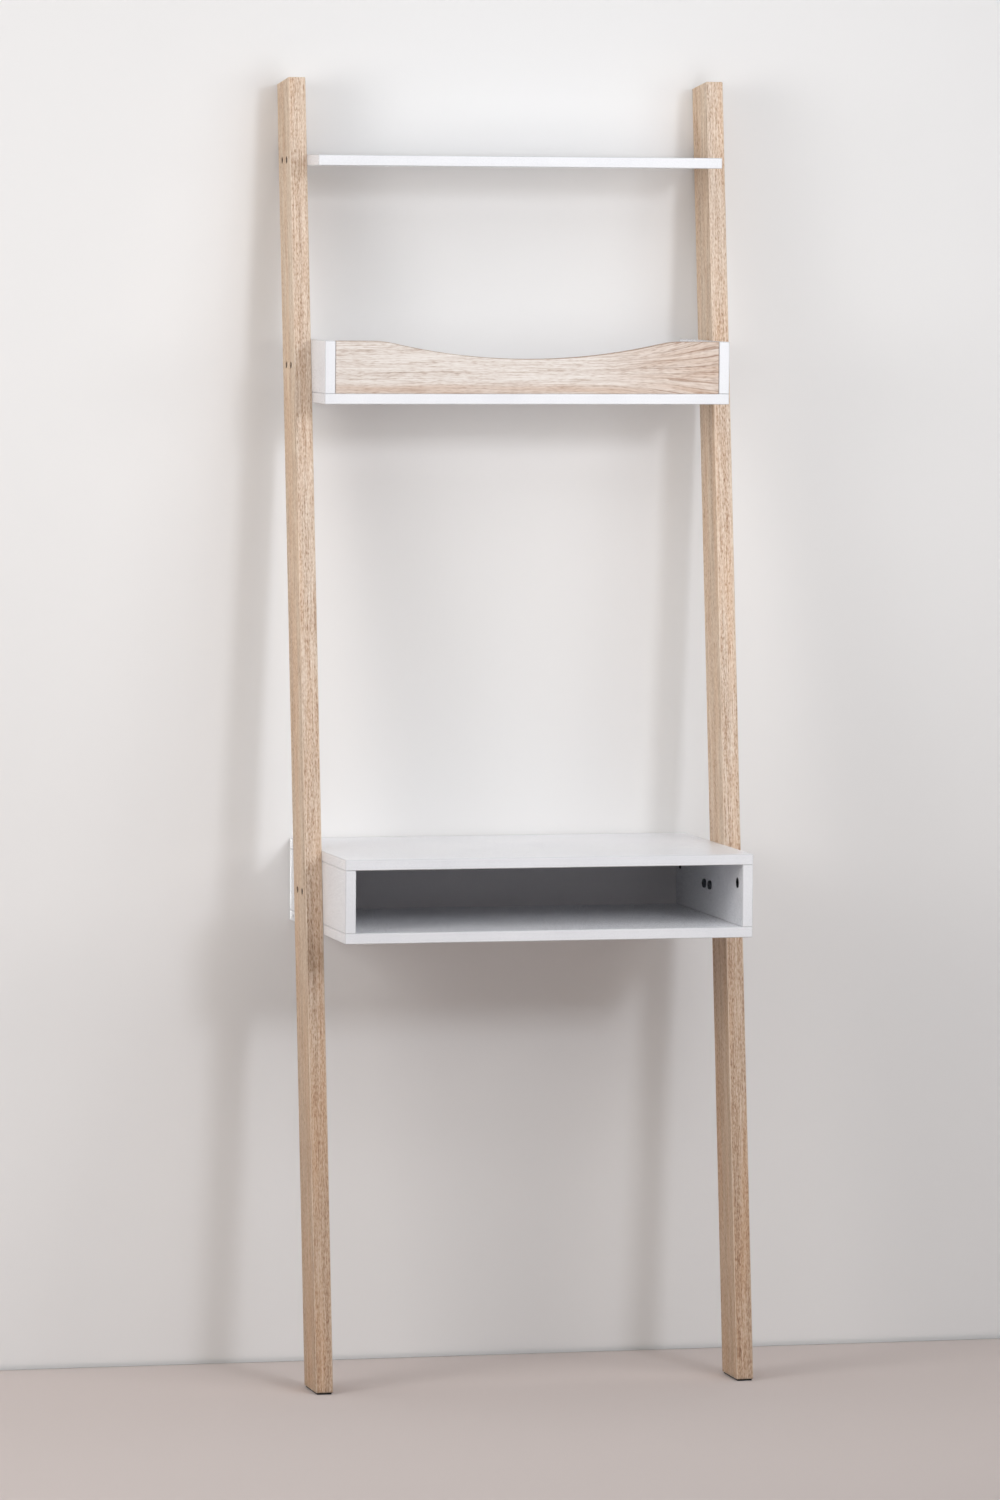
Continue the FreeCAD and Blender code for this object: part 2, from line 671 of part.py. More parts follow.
def make_wall_brackets():
    """Two steel angles under the desk's bottom board, with their upright legs on the wall."""
    body = new_body("wall_brackets", y="wall", z="desk_bottom_level")
    leg, thin = "bracket_leg", "bracket_thickness"
    corners = [("0", "0"), (f"-{leg}", "0"), (f"-{leg}", f"-{thin}"), (f"-{thin} - bracket_bend", f"-{thin}"),
               (f"-{thin}", f"-{thin} - bracket_bend"), (f"-{thin}", f"-{leg}"), ("0", f"-{leg}")]
    low = "-bracket_offset - bracket_width / 2"
    angle = pad(body, polygon(sketch_on(body, "YZ_Plane", low), corners), "bracket_width")
    spot = [("-bracket_offset", "-bracket_hole_reach")]
    under = circles(sketch_on(body, "XY_Plane"), spot, "bracket_hole_diameter")
    under = cut(body, under, thin)
    rear = circles(sketch_on(body, "XZ_Plane"), spot, "bracket_hole_diameter")
    rear = cut(body, rear, thin, True)
    spread(body, [angle, under, rear], ("YZ_Plane", None))


def make_bracket_screws():
    """Pan-head screws that hold the brackets up to the desk's bottom board."""
    body = new_body("bracket_screws", x="-bracket_offset", y="wall - bracket_hole_reach",
                    z="desk_bottom_level - bracket_thickness")
    wide, slim = "bracket_screw_head_diameter / 2", "bracket_screw_diameter / 2"
    profile = [("0", "-bracket_screw_head_height"), (wide, "-bracket_screw_head_height"), (wide, "0"),
               (slim, "0"), (slim, "bracket_screw_length - bracket_screw_point"),
               ("0", "bracket_screw_length")]
    shape = turn(body, polygon(sketch_on(body, "XZ_Plane"), profile), "V_Axis")
    spread(body, [shape], ("X_Axis", "2 * bracket_offset"))


def make_desk():
    """Builds every piece."""
    for side in SIDES:
        make_rail(side)
        make_foot_pad(side)
        make_tray_side(side)
        make_desk_side(side)
    make_top_shelf()
    make_tray_bottom()
    make_tray_front()
    make_desk_top()
    make_desk_bottom()
    make_desk_back()
    make_rail_bolts("shelf", "shelf_bolt_bore - half_box")
    make_barrel_nuts()
    for level in ("tray", "desk"):
        make_rail_bolts(level, "-panel_inside - bolt_past")
        make_cap_nuts(level)
    make_cam_locks()
    make_cam_pins()
    make_upright_dowels("desk_top_dowels", "desk", "desk_height - board", "(dowel_bite - dowel_length)")
    make_upright_dowels("desk_bottom_dowels", "desk", "desk_bottom_level + board", "(-dowel_bite)")
    make_upright_dowels("tray_side_dowels", "tray", "tray_level + board", "(-dowel_bite)")
    make_front_dowels()
    for box, level in (("desk", "desk_bottom_level"), ("tray", "tray_level")):
        depth, inset = f"{box}_depth", f"{box}_screw_inset"
        make_panel_screws(f"{box}_bottom_screws", "-panel_middle", f"wall - {depth} + {inset}", level,
                          ("Y_Axis", f"{depth} - 2 * {inset}"), ("X_Axis", "2 * panel_middle"))
    make_panel_screws("tray_front_screws", "-front_screw_offset", "wall - tray_depth + front_thickness / 2",
                      "tray_level", ("X_Axis", "2 * front_screw_offset"))
    make_wall_brackets()
    make_bracket_screws()


def check_desk():
    """Stops on a failed feature or an empty or broken piece."""
    doc.recompute()
    for item in doc.Objects:
        if {"Invalid", "Error"} & set(item.State):
            raise RuntimeError(f"{item.Label} failed: {item.State}")
    for body in bodies:
        if body.Shape.isNull() or not body.Shape.isValid() or not body.Shape.Solids:
            raise RuntimeError(f"{body.Label} is not a sound solid")


def write_pieces():
    """Writes each piece to a file of its own name."""
    os.makedirs("parts", exist_ok=True)
    for body in bodies:
        body.Shape.exportStep(f"parts/{body.Label}.step")
        print(f"{body.Label}: {len(body.Shape.Solids)} solids, {body.Shape.Volume:.0f} cubic mm")


write_sheet()
make_desk()
check_desk()
write_pieces()
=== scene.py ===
"""Dresses the ladder desk: oak-effect rails, white boards, fixings, studio light and camera.

Every object is in metres in the desk's own frame: the origin is on the floor, +X runs to the right of
someone facing the desk, +Y runs to the wall and +Z is up. The sizes of fasteners, and of the marks in a
finish, are in millimetres.
"""

from __future__ import annotations

import json
import logging
import math
from dataclasses import dataclass, field
from enum import Enum
from typing import Any

import bmesh
import bpy
from mathutils import Matrix, Vector

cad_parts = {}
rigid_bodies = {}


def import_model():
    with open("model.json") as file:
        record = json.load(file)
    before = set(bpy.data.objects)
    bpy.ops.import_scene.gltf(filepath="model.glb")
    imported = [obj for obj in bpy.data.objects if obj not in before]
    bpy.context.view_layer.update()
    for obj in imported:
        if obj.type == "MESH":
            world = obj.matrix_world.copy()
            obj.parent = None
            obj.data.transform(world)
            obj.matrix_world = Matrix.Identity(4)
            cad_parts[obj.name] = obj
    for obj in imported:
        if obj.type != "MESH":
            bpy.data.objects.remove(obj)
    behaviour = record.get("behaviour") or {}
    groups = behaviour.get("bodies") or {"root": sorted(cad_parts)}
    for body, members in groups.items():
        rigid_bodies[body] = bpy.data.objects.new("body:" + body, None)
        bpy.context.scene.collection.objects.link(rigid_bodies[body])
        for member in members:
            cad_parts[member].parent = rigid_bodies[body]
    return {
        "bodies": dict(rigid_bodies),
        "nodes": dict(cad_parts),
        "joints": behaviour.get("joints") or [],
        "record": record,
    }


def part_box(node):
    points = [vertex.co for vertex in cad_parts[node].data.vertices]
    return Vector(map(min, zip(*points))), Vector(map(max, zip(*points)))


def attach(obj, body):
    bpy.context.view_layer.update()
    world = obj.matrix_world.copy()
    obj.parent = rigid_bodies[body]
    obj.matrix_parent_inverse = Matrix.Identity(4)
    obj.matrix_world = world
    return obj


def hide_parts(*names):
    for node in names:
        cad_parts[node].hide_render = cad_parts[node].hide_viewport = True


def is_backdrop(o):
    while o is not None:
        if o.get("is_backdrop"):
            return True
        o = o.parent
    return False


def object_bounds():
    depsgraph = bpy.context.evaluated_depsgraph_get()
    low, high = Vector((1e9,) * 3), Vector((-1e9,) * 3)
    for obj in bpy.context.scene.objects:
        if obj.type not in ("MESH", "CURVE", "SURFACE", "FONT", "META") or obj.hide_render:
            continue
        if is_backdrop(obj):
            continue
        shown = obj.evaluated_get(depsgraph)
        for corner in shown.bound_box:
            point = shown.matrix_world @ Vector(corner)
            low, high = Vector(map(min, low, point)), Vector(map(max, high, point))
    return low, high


LOG = logging.getLogger("ladder_desk")

Pair = tuple[float, float]
Triple = tuple[float, float, float]
Paint = tuple[bpy.types.NodeSocket, bpy.types.NodeSocket]

MILLIMETRE = 0.001
# The photograph's longer side in pixels, and the sensor's in millimetres.
PHOTO_LONG_SIDE = 1500
SENSOR = 36.0
# How far the rails lean towards the wall.
LEAN = math.radians(7)
# Points round a turned piece, the angle between two of them, and the angle at which an edge is left sharp.
RING_POINTS = 24
RING_STEP = 2 * math.pi / RING_POINTS
SHARP = math.radians(35)


def linear(code: str) -> tuple[float, float, float, float]:
    """Turns a colour written as sRGB hex into linear light, by the curve of the sRGB standard.

    Args:
        code: six hex digits.

    Returns:
        Red, green, blue and an opaque alpha.
    """
    parts = [int(code[i:i + 2], 16) / 255 for i in (0, 2, 4)]
    lit = [p / 12.92 if p <= 0.04045 else ((p + 0.055) / 1.055) ** 2.4 for p in parts]
    return lit[0], lit[1], lit[2], 1.0


def cells(size: Triple) -> Triple:
    """Scale that makes a pattern's marks this many millimetres along each axis."""
    return tuple(1 / (side * MILLIMETRE) for side in size)


def add(tree: bpy.types.NodeTree, kind: str, inputs: dict[Any, Any] | None = None,
        stops: tuple[tuple[float, str], ...] = (), **settings: Any) -> bpy.types.Node:
    """Adds one node to a tree.

    Args:
        tree: the tree that gets the node.
        kind: the node's type without its ShaderNode part.
        inputs: values, sockets, or nodes whose first output is meant, by input name or number.
        stops: places and hex colours of a colour ramp.
        settings: the node's own properties.

    Returns:
        The new node.
    """
    node = tree.nodes.new("ShaderNode" + kind)
    for name, value in settings.items():
        setattr(node, name, value)
    for key, value in (inputs or {}).items():
        if isinstance(value, bpy.types.Node):
            value = value.outputs[0]
        if isinstance(value, bpy.types.NodeSocket):
            tree.links.new(value, node.inputs[key])
        else:
            node.inputs[key].default_value = value
    for index, (place, code) in enumerate(stops):
        ramp = node.color_ramp.elements
        stop = ramp[index] if index < 2 else ramp.new(place)
        stop.position, stop.color = place, linear(code)
    return node


class Grain(Enum):
    """How Object coordinates are turned so that the grain runs along their Z."""

    UP_THE_RAIL = ("X_AXIS", LEAN)
    ALONG_THE_FRONT = ("Y_AXIS", -math.pi / 2)


@dataclass(frozen=True)
class Finish:
    """A procedural finish that becomes one material.

    Its pattern gives the roughness, from the first value to the second over the pattern's span, and the
    relief, which is as deep in millimetres as the field says.
    """

    name: str
    span: Pair = (0.3, 0.7)
    roughness: Pair = (0.5, 0.7)
    metallic: float = 0.0
    relief: float = 0.1
    relief_strength: float = 0.3

    def material(self) -> bpy.types.Material:
        """Makes the finish's material on first use.

        Returns:
            The material.
        """
        made = bpy.data.materials.get(self.name)
        if made is None:
            made = bpy.data.materials.new(self.name)
            made.use_nodes = True
            tree = made.node_tree
            tree.nodes.clear()
            colour, pattern = self.paint(tree, add(tree, "TexCoord"))
            polish = add(tree, "MapRange", {
                "Value": pattern, "From Min": self.span[0], "From Max": self.span[1],
                "To Min": self.roughness[0], "To Max": self.roughness[1]})
            bump = add(tree, "Bump", {
                "Height": pattern, "Strength": self.relief_strength, "Distance": self.relief * MILLIMETRE})
            shader = add(tree, "BsdfPrincipled", {
                "Base Color": colour, "Roughness": polish, "Normal": bump, "Metallic": self.metallic})
            add(tree, "OutputMaterial", {"Surface": shader})
        return made

    def paint(self, tree: bpy.types.NodeTree, place: bpy.types.Node) -> Paint:
        """Lays the finish's colour and its pattern.

        Args:
            tree: the material's tree.
            place: its texture coordinates.

        Returns:
            The colour and the pattern.
        """
        raise NotImplementedError


@dataclass(frozen=True)
class OakFoil(Finish):
    """Oak-effect foil wrapped on board: a printed figure of bands, long streaks, flecks and short pores.

    Each kind of mark has a weight, and a size across, through and along the grain. Growth lines follow steps
    of the ring pattern, and their width is a share of its range.
    """

    # The foil is printed and lacquered, so the eye gets a pale satin surface with a fine, even figure.
    # Real pores are 0.3 mm wide; these are drawn about 1 mm wide so that they show in the render.
    span: Pair = (0.2, 0.8)
    roughness: Pair = (0.58, 0.42)
    relief: float = 0.06
    grain: Grain = Grain.UP_THE_RAIL
    tones: tuple[str, ...] = ("8C6C54", "BA9D85", "D5BFAA", "E5D5C5", "F5EBE1")
    tone_places: tuple[float, ...] = (0.0, 0.3, 0.5, 0.7, 1.0)
    pores: float = 0.26
    pore_size: Triple = (1.1, 1.1, 6)
    flecks: float = 0.6
    fleck_size: Triple = (1.6, 1.6, 5)
    streaks: float = 0.75
    streak_size: Triple = (1.2, 1.2, 70)
    bands: float = 0.4
    band_size: Triple = (9, 15, 420)
    lines: float = 0.08
    line_width: float = 0.014
    rings: float = 1.0
    ring_size: Triple = (11, 16, 330)
    sway: float = 6
    sway_size: Triple = (60, 60, 160)
    patch_size: Triple = (18, 30, 260)
    # Slow colours: rosy patches, painted shade that darkens the rail towards the bottom and fades out
    # between two heights in metres, painted shade that makes the sides slightly darker, and a painted
    # highlight on the rounded arrises.
    rose: str = "D3B096"
    rose_share: float = 0.45
    low_shade: str = "E0D4C8"
    low_shade_share: float = 0.8
    low_shade_fade: Pair = (0.25, 0.95)
    side: str = "FAF8F2"
    arris_highlight: str = "EFE3D5"
    arris_highlight_share: float = 0.4

    def lie(self, tree: bpy.types.NodeTree, place: bpy.types.Node) -> bpy.types.Node:
        """Lays the figure on the piece.

        Args:
            tree: the material's tree.
            place: its texture coordinates.

        Returns:
            Coordinates whose Z runs along the grain, with a slow drift so that it isn't dead straight.
        """
        axis, angle = self.grain.value
        along = add(tree, "VectorRotate", {"Vector": place.outputs["Object"], "Angle": angle},
                    rotation_type=axis)
        drift = add(tree, "TexNoise", {
            "Vector": add(tree, "Mapping", {"Vector": along, "Scale": cells(self.sway_size)}),
            "Scale": 1.0, "Detail": 1.0})
        sway = add(tree, "VectorMath", {0: drift.outputs["Color"], 1: (0.5, 0.5, 0.5)}, operation="SUBTRACT")
        reach = self.sway * MILLIMETRE
        sway = add(tree, "VectorMath", {0: sway, 1: (reach, reach, 0.0)}, operation="MULTIPLY")
        return add(tree, "VectorMath", {0: along, 1: sway}, operation="ADD")

    def wash(self, tree: bpy.types.NodeTree, place: bpy.types.Node, colour: bpy.types.NodeSocket,
             line: bpy.types.Node) -> bpy.types.NodeSocket:
        """Lays the foil's slow change of colour, painted shade and a painted arris highlight over its
        figure.

        Args:
            tree: the material's tree.
            place: its texture coordinates.
            colour: the figure's colour.
            line: coordinates along the grain.

        Returns:
            The washed colour.
        """
        patch = add(tree, "TexNoise", {
            "Vector": add(tree, "Mapping", {"Vector": line, "Scale": cells(self.patch_size)}),
            "Scale": 1.0, "Detail": 1.0})
        blush = add(tree, "MapRange", {"Value": patch, "From Min": 0.4, "From Max": 0.7,
                                       "To Min": 0.0, "To Max": self.rose_share})
        rosy = add(tree, "Mix", {0: blush, 6: colour, 7: linear(self.rose)}, data_type="RGBA",
                   blend_type="SOFT_LIGHT")
        height = add(tree, "SeparateXYZ", {0: line})
        # Painted shade: the rail is made darker and browner towards the bottom, fading out between two
        # heights.
        low_shade = add(tree, "MapRange", {
            "Value": height.outputs[2], "From Min": self.low_shade_fade[0], "From Max": self.low_shade_fade[1],
            "To Min": self.low_shade_share, "To Max": 0.0}, interpolation_type="SMOOTHSTEP")
        low_shaded = add(tree, "Mix", {0: low_shade, 6: rosy.outputs[2], 7: linear(self.low_shade)}, data_type="RGBA",
                   blend_type="MULTIPLY")
        # Painted shade: the sides are made slightly darker and yellower than the front.
        facing = add(tree, "SeparateXYZ", {0: place.outputs["Normal"]})
        side = add(tree, "Math", {0: facing.outputs[0]}, operation="ABSOLUTE")
        side_shaded = add(tree, "Mix", {0: side, 6: low_shaded.outputs[2], 7: linear(self.side)}, data_type="RGBA",
                    blend_type="MULTIPLY")
        # From -1 on the front to 1 on the sides, so that only the rounded arris between them is near 0.
        turn = add(tree, "Math", {0: side, 1: 2.0, 2: -1.0}, operation="MULTIPLY_ADD")
        flat = add(tree, "Math", {0: turn}, operation="ABSOLUTE")
        # Painted highlight: the rounded arris between front and side is mixed towards a pale colour.
        arris_highlight = add(tree, "MapRange", {"Value": flat, "From Min": 0.3, "From Max": 0.95,
                                        "To Min": self.arris_highlight_share, "To Max": 0.0})
        arris_lit = add(tree, "Mix", {0: arris_highlight, 6: side_shaded.outputs[2], 7: linear(self.arris_highlight)}, data_type="RGBA")
        return arris_lit.outputs[2]

    def paint(self, tree: bpy.types.NodeTree, place: bpy.types.Node) -> Paint:
        """Paints bands, streaks, flecks, growth lines and pores along the grain.

        Args:
            tree: the material's tree.
            place: its texture coordinates.

        Returns:
            The colour and the pattern.
        """
        line = self.lie(tree, place)
        pores, flecks, streaks, bands, rings = (
            add(tree, "TexNoise", {
                "Vector": add(tree, "Mapping", {"Vector": line, "Scale": cells(size)}),
                "Scale": 1.0, "Detail": detail})
            for size, detail in ((self.pore_size, 1.0), (self.fleck_size, 1.0), (self.streak_size, 1.0),
                                 (self.band_size, 2.0), (self.ring_size, 1.0)))
        # Pores darken, while the ground between them is raised to keep the mean. They crowd in dark bands.
        marks = add(tree, "MapRange", {"Value": pores, "From Min": 0.48, "From Max": 0.72,
                                       "To Min": 0.16, "To Max": -0.84})
        crowd = add(tree, "MapRange", {"Value": bands, "From Min": 0.35, "From Max": 0.65,
                                       "To Min": 1.4, "To Max": 0.6})
        marks = add(tree, "Math", {0: marks, 1: crowd}, operation="MULTIPLY")
        middle = 0.5 - 0.5 * (self.streaks + self.bands + self.flecks)
        tone = add(tree, "Math", {0: marks, 1: self.pores, 2: middle}, operation="MULTIPLY_ADD")
        for layer, weight in ((streaks, self.streaks), (bands, self.bands), (flecks, self.flecks)):
            tone = add(tree, "Math", {0: layer, 1: weight, 2: tone}, operation="MULTIPLY_ADD")
        steps = add(tree, "Math", {0: rings, 1: self.rings}, operation="MULTIPLY")
        steps = add(tree, "Math", {0: steps}, operation="FRACT")
        near = add(tree, "Math", {0: steps, 1: 0.5, 2: self.line_width * self.rings}, operation="COMPARE")
        tone = add(tree, "Math", {0: near, 1: -self.lines, 2: tone}, operation="MULTIPLY_ADD")
        figure = add(tree, "ValToRGB", {"Fac": tone}, stops=tuple(zip(self.tone_places, self.tones)))
        return self.wash(tree, place, figure.outputs[0], line), tone.outputs[0]


@dataclass(frozen=True)
class FrontFoil(OakFoil):
    """The tray front's foil: greyer, with its grain fanning out at the right end and a brown top edge.

    Heights are above the front's lower edge, and reaches are from its right end towards its middle. The
    width of a growth line is a share of the space between two.
    """

    node: str = "tray_front"
    grain: Grain = Grain.ALONG_THE_FRONT
    tones: tuple[str, ...] = ("9E897B", "C9B8AC", "E1D8D0", "EFE9E4", "FAF6F3")
    pores: float = 0.18
    pore_size: Triple = (1.1, 1.1, 11)
    flecks: float = 0.3
    fleck_size: Triple = (1.6, 1.6, 9)
    streaks: float = 0.55
    bands: float = 0.25
    lines: float = 0.1
    rings: float = 5.0
    patch_size: Triple = (7, 30, 160)
    heart_height: float = 27
    fan: float = 0.45
    fan_reach: Pair = (160, -20)
    warm: str = "DBBBA0"
    warm_share: float = 0.6
    warm_height: Pair = (4, 19)
    warm_reach: Pair = (220, 10)
    growth: str = "B2937B"
    growth_space: float = 6
    growth_width: float = 0.07
    growth_wander: float = 1.5
    edge: str = "A88F7C"
    edge_share: float = 0.9

    def lie(self, tree: bpy.types.NodeTree, place: bpy.types.Node) -> bpy.types.Node:
        """Lays the figure along the front and fans it out towards the right end.

        Args:
            tree: the material's tree.
            place: its texture coordinates.

        Returns:
            Coordinates whose Z runs along the grain.
        """
        base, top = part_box(self.node)
        heart = base.z + self.heart_height * MILLIMETRE
        start, end = (top.x - reach * MILLIMETRE for reach in self.fan_reach)
        parts = add(tree, "SeparateXYZ", {0: super().lie(tree, place)})
        offset = add(tree, "Math", {0: parts.outputs[0], 1: heart}, operation="ADD")
        spread = add(tree, "MapRange", {"Value": parts.outputs[2], "From Min": start, "From Max": end,
                                        "To Min": 1.0, "To Max": self.fan}, interpolation_type="SMOOTHSTEP")
        across = add(tree, "Math", {0: offset, 1: spread}, operation="MULTIPLY")
        return add(tree, "CombineXYZ", {0: across, 1: parts.outputs[1], 2: parts.outputs[2]})

    def wash(self, tree: bpy.types.NodeTree, place: bpy.types.Node, colour: bpy.types.NodeSocket,
             line: bpy.types.Node) -> bpy.types.NodeSocket:
        """Warms the front's lower edge and its right end, where growth lines show, and browns its top edge.

        Args:
            tree: the material's tree.
            place: its texture coordinates.
            colour: the figure's colour.
            line: coordinates along the grain.

        Returns:
            The warmed colour.
        """
        base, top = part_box(self.node)
        first, last = (base.z + height * MILLIMETRE for height in self.warm_height)
        start, end = (top.x - reach * MILLIMETRE for reach in self.warm_reach)
        parts = add(tree, "SeparateXYZ", {0: place.outputs["Object"]})
        under = add(tree, "MapRange", {
            "Value": parts.outputs[2], "From Min": first, "From Max": last,
            "To Min": self.warm_share, "To Max": 0.0}, interpolation_type="SMOOTHSTEP")
        right = add(tree, "MapRange", {
            "Value": parts.outputs[0], "From Min": start, "From Max": end,
            "To Min": 0.0, "To Max": self.warm_share}, interpolation_type="SMOOTHSTEP")
        patch = add(tree, "TexNoise", {
            "Vector": add(tree, "Mapping", {"Vector": line, "Scale": cells(self.patch_size)}),
            "Scale": 1.0, "Detail": 2.0})
        share = add(tree, "Math", {0: under, 1: right}, operation="MAXIMUM")
        uneven = add(tree, "MapRange", {"Value": patch, "From Min": 0.3, "From Max": 0.7,
                                        "To Min": 0.4, "To Max": 1.2})
        share = add(tree, "Math", {0: share, 1: uneven}, operation="MULTIPLY", use_clamp=True)
        warmed = add(tree, "Mix", {0: share, 6: colour, 7: linear(self.warm)}, data_type="RGBA",
                     blend_type="MULTIPLY")
        across = add(tree, "SeparateXYZ", {0: line})
        wander = add(tree, "Math", {0: patch, 1: self.growth_wander}, operation="MULTIPLY")
        year = add(tree, "Math", {0: across.outputs[0], 1: 1 / (self.growth_space * MILLIMETRE), 2: wander},
                   operation="MULTIPLY_ADD")
        year = add(tree, "Math", {0: year}, operation="FRACT")
        late = add(tree, "Math", {0: year, 1: 0.5, 2: self.growth_width}, operation="COMPARE")
        late = add(tree, "Math", {0: late, 1: right}, operation="MULTIPLY")
        lined = add(tree, "Mix", {0: late, 6: warmed.outputs[2], 7: linear(self.growth)}, data_type="RGBA",
                    blend_type="MULTIPLY")
        facing = add(tree, "SeparateXYZ", {0: place.outputs["Normal"]})
        brow = add(tree, "MapRange", {"Value": facing.outputs[2], "From Min": 0.3, "From Max": 0.6,
                                      "To Min": 0.0, "To Max": self.edge_share})
        edged = add(tree, "Mix", {0: brow, 6: lined.outputs[2], 7: linear(self.edge)}, data_type="RGBA")
        return edged.outputs[2]


@dataclass(frozen=True)
class WhiteMelamine(Finish):
    """White melamine paper pressed on particle board, edged in the same white."""

    # The pressing plate leaves a fine orange peel that breaks the gloss; the arris gets a grey painted
    # shade.
    roughness: Pair = (0.22, 0.34)
    relief: float = 0.04
    relief_strength: float = 0.08
    white: str = "EFF0F3"
    shade: str = "E9EAEE"
    shade_size: Triple = (90, 90, 90)
    peel_size: Triple = (1.1, 1.1, 1.1)
    arris: str = "CDCDD0"
    arris_shade_share: float = 0.8

    def paint(self, tree: bpy.types.NodeTree, place: bpy.types.Node) -> Paint:
        """Paints the white with its slow tone, a grey painted shade on its arris and its orange peel.

        Args:
            tree: the material's tree.
            place: its texture coordinates.

        Returns:
            The colour and the pattern.
        """
        tone, peel = (
            add(tree, "TexNoise", {
                "Vector": add(tree, "Mapping", {"Vector": place.outputs["Object"], "Scale": cells(size)}),
                "Scale": 1.0, "Detail": detail})
            for size, detail in ((self.shade_size, 3.0), (self.peel_size, 2.0)))
        body = add(tree, "ValToRGB", {"Fac": tone}, stops=((0.35, self.white), (0.7, self.shade)))
        # A face of the board has one normal part near 1, and its rounded arris has none.
        facing = add(tree, "VectorMath", {0: place.outputs["Normal"]}, operation="ABSOLUTE")
        parts = add(tree, "SeparateXYZ", {0: facing})
        widest = add(tree, "Math", {0: parts.outputs[0], 1: parts.outputs[1]}, operation="MAXIMUM")
        widest = add(tree, "Math", {0: widest, 1: parts.outputs[2]}, operation="MAXIMUM")
        # Painted shade: the rounded arris is mixed towards grey, so that the joints between boards read
        # dark.
        edge = add(tree, "MapRange", {"Value": widest, "From Min": 0.75, "From Max": 0.97,
                                      "To Min": self.arris_shade_share, "To Max": 0.0})
        arris_shaded = add(tree, "Mix", {0: edge, 6: body, 7: linear(self.arris)}, data_type="RGBA")
        return arris_shaded.outputs[2], peel.outputs[0]


@dataclass(frozen=True)
class FacedHardboard(Finish):
    """Hardboard, faced with white paper inside the desk and bare brown at the rear."""

    # Wet-pressed fibre: the bare side shows brown flecks and a faint screen, the faced side a dull white.
    roughness: Pair = (0.6, 0.8)
    faced: str = "F4F0F0"
    brown: str = "8A6442"
    fleck: str = "5F412A"
    fibre_size: Triple = (3, 3, 3)

    def paint(self, tree: bpy.types.NodeTree, place: bpy.types.Node) -> Paint:
        """Paints the fibre on the rear and the paper on the front.

        Args:
            tree: the material's tree.
            place: its texture coordinates.

        Returns:
            The colour and the pattern.
        """
        fibre = add(tree, "TexNoise", {
            "Vector": add(tree, "Mapping", {
                "Vector": place.outputs["Object"], "Scale": cells(self.fibre_size)}),
            "Scale": 1.0, "Detail": 5.0, "Roughness": 0.65})
        bare = add(tree, "ValToRGB", {"Fac": fibre}, stops=((0.38, self.brown), (0.72, self.fleck)))
        facing = add(tree, "SeparateXYZ", {0: place.outputs["Normal"]})
        front = add(tree, "MapRange", {"Value": facing.outputs[1], "From Min": -0.9, "From Max": -0.5,
                                       "To Min": 1.0, "To Max": 0.0})
        paper = add(tree, "Mix", {0: front, 6: bare, 7: linear(self.faced)}, data_type="RGBA")
        return paper.outputs[2], fibre.outputs[0]


@dataclass(frozen=True)
class Metal(Finish):
    """A plated or cast metal with patches in its colour and its polish."""

    roughness: Pair = (0.28, 0.45)
    metallic: float = 1.0
    relief: float = 0.03
    relief_strength: float = 0.2
    bright: str = "C4C6C9"
    dull: str = "A4A6AA"
    patch: float = 1.2
    grit: float = 0.4

    def paint(self, tree: bpy.types.NodeTree, place: bpy.types.Node) -> Paint:
        """Paints the patches and a fine grit.

        Args:
            tree: the material's tree.
            place: its texture coordinates.

        Returns:
            The colour and the pattern.
        """
        patches, grains = (
            add(tree, "Mapping", {"Vector": place.outputs["Object"], "Scale": cells((size, size, size))})
            for size in (self.patch, self.grit))
        spangle = add(tree, "TexVoronoi", {"Vector": patches, "Scale": 1.0})
        cell = add(tree, "SeparateColor", {0: spangle.outputs["Color"]})
        colour = add(tree, "ValToRGB", {"Fac": cell.outputs[0]},
                     stops=((0.0, self.bright), (1.0, self.dull)))
        grit = add(tree, "TexNoise", {"Vector": grains, "Scale": 1.0, "Detail": 2.0})
        return colour.outputs[0], grit.outputs[0]


@dataclass(frozen=True)
class FootRubber(Finish):
    """Black foam rubber, cut from sheet."""

    # A matt skin of closed cells: nearly black, with pin-sized lighter pits.
    span: Pair = (0.0, 1.0)
    roughness: Pair = (0.75, 0.92)
    black: str = "1B1A19"
    pit: str = "302E2C"
    pit_size: Triple = (0.8, 0.8, 0.8)

    def paint(self, tree: bpy.types.NodeTree, place: bpy.types.Node) -> Paint:
        """Paints the cells.

        Args:
            tree: the material's tree.
            place: its texture coordinates.

        Returns:
            The colour and the pattern.
        """
        pits = add(tree, "TexVoronoi", {
            "Vector": add(tree, "Mapping", {
                "Vector": place.outputs["Object"], "Scale": cells(self.pit_size)}),
            "Scale": 1.0})
        depth = pits.outputs["Distance"]
        colour = add(tree, "ValToRGB", {"Fac": depth}, stops=((0.1, self.pit), (0.5, self.black)))
        return colour.outputs[0], depth


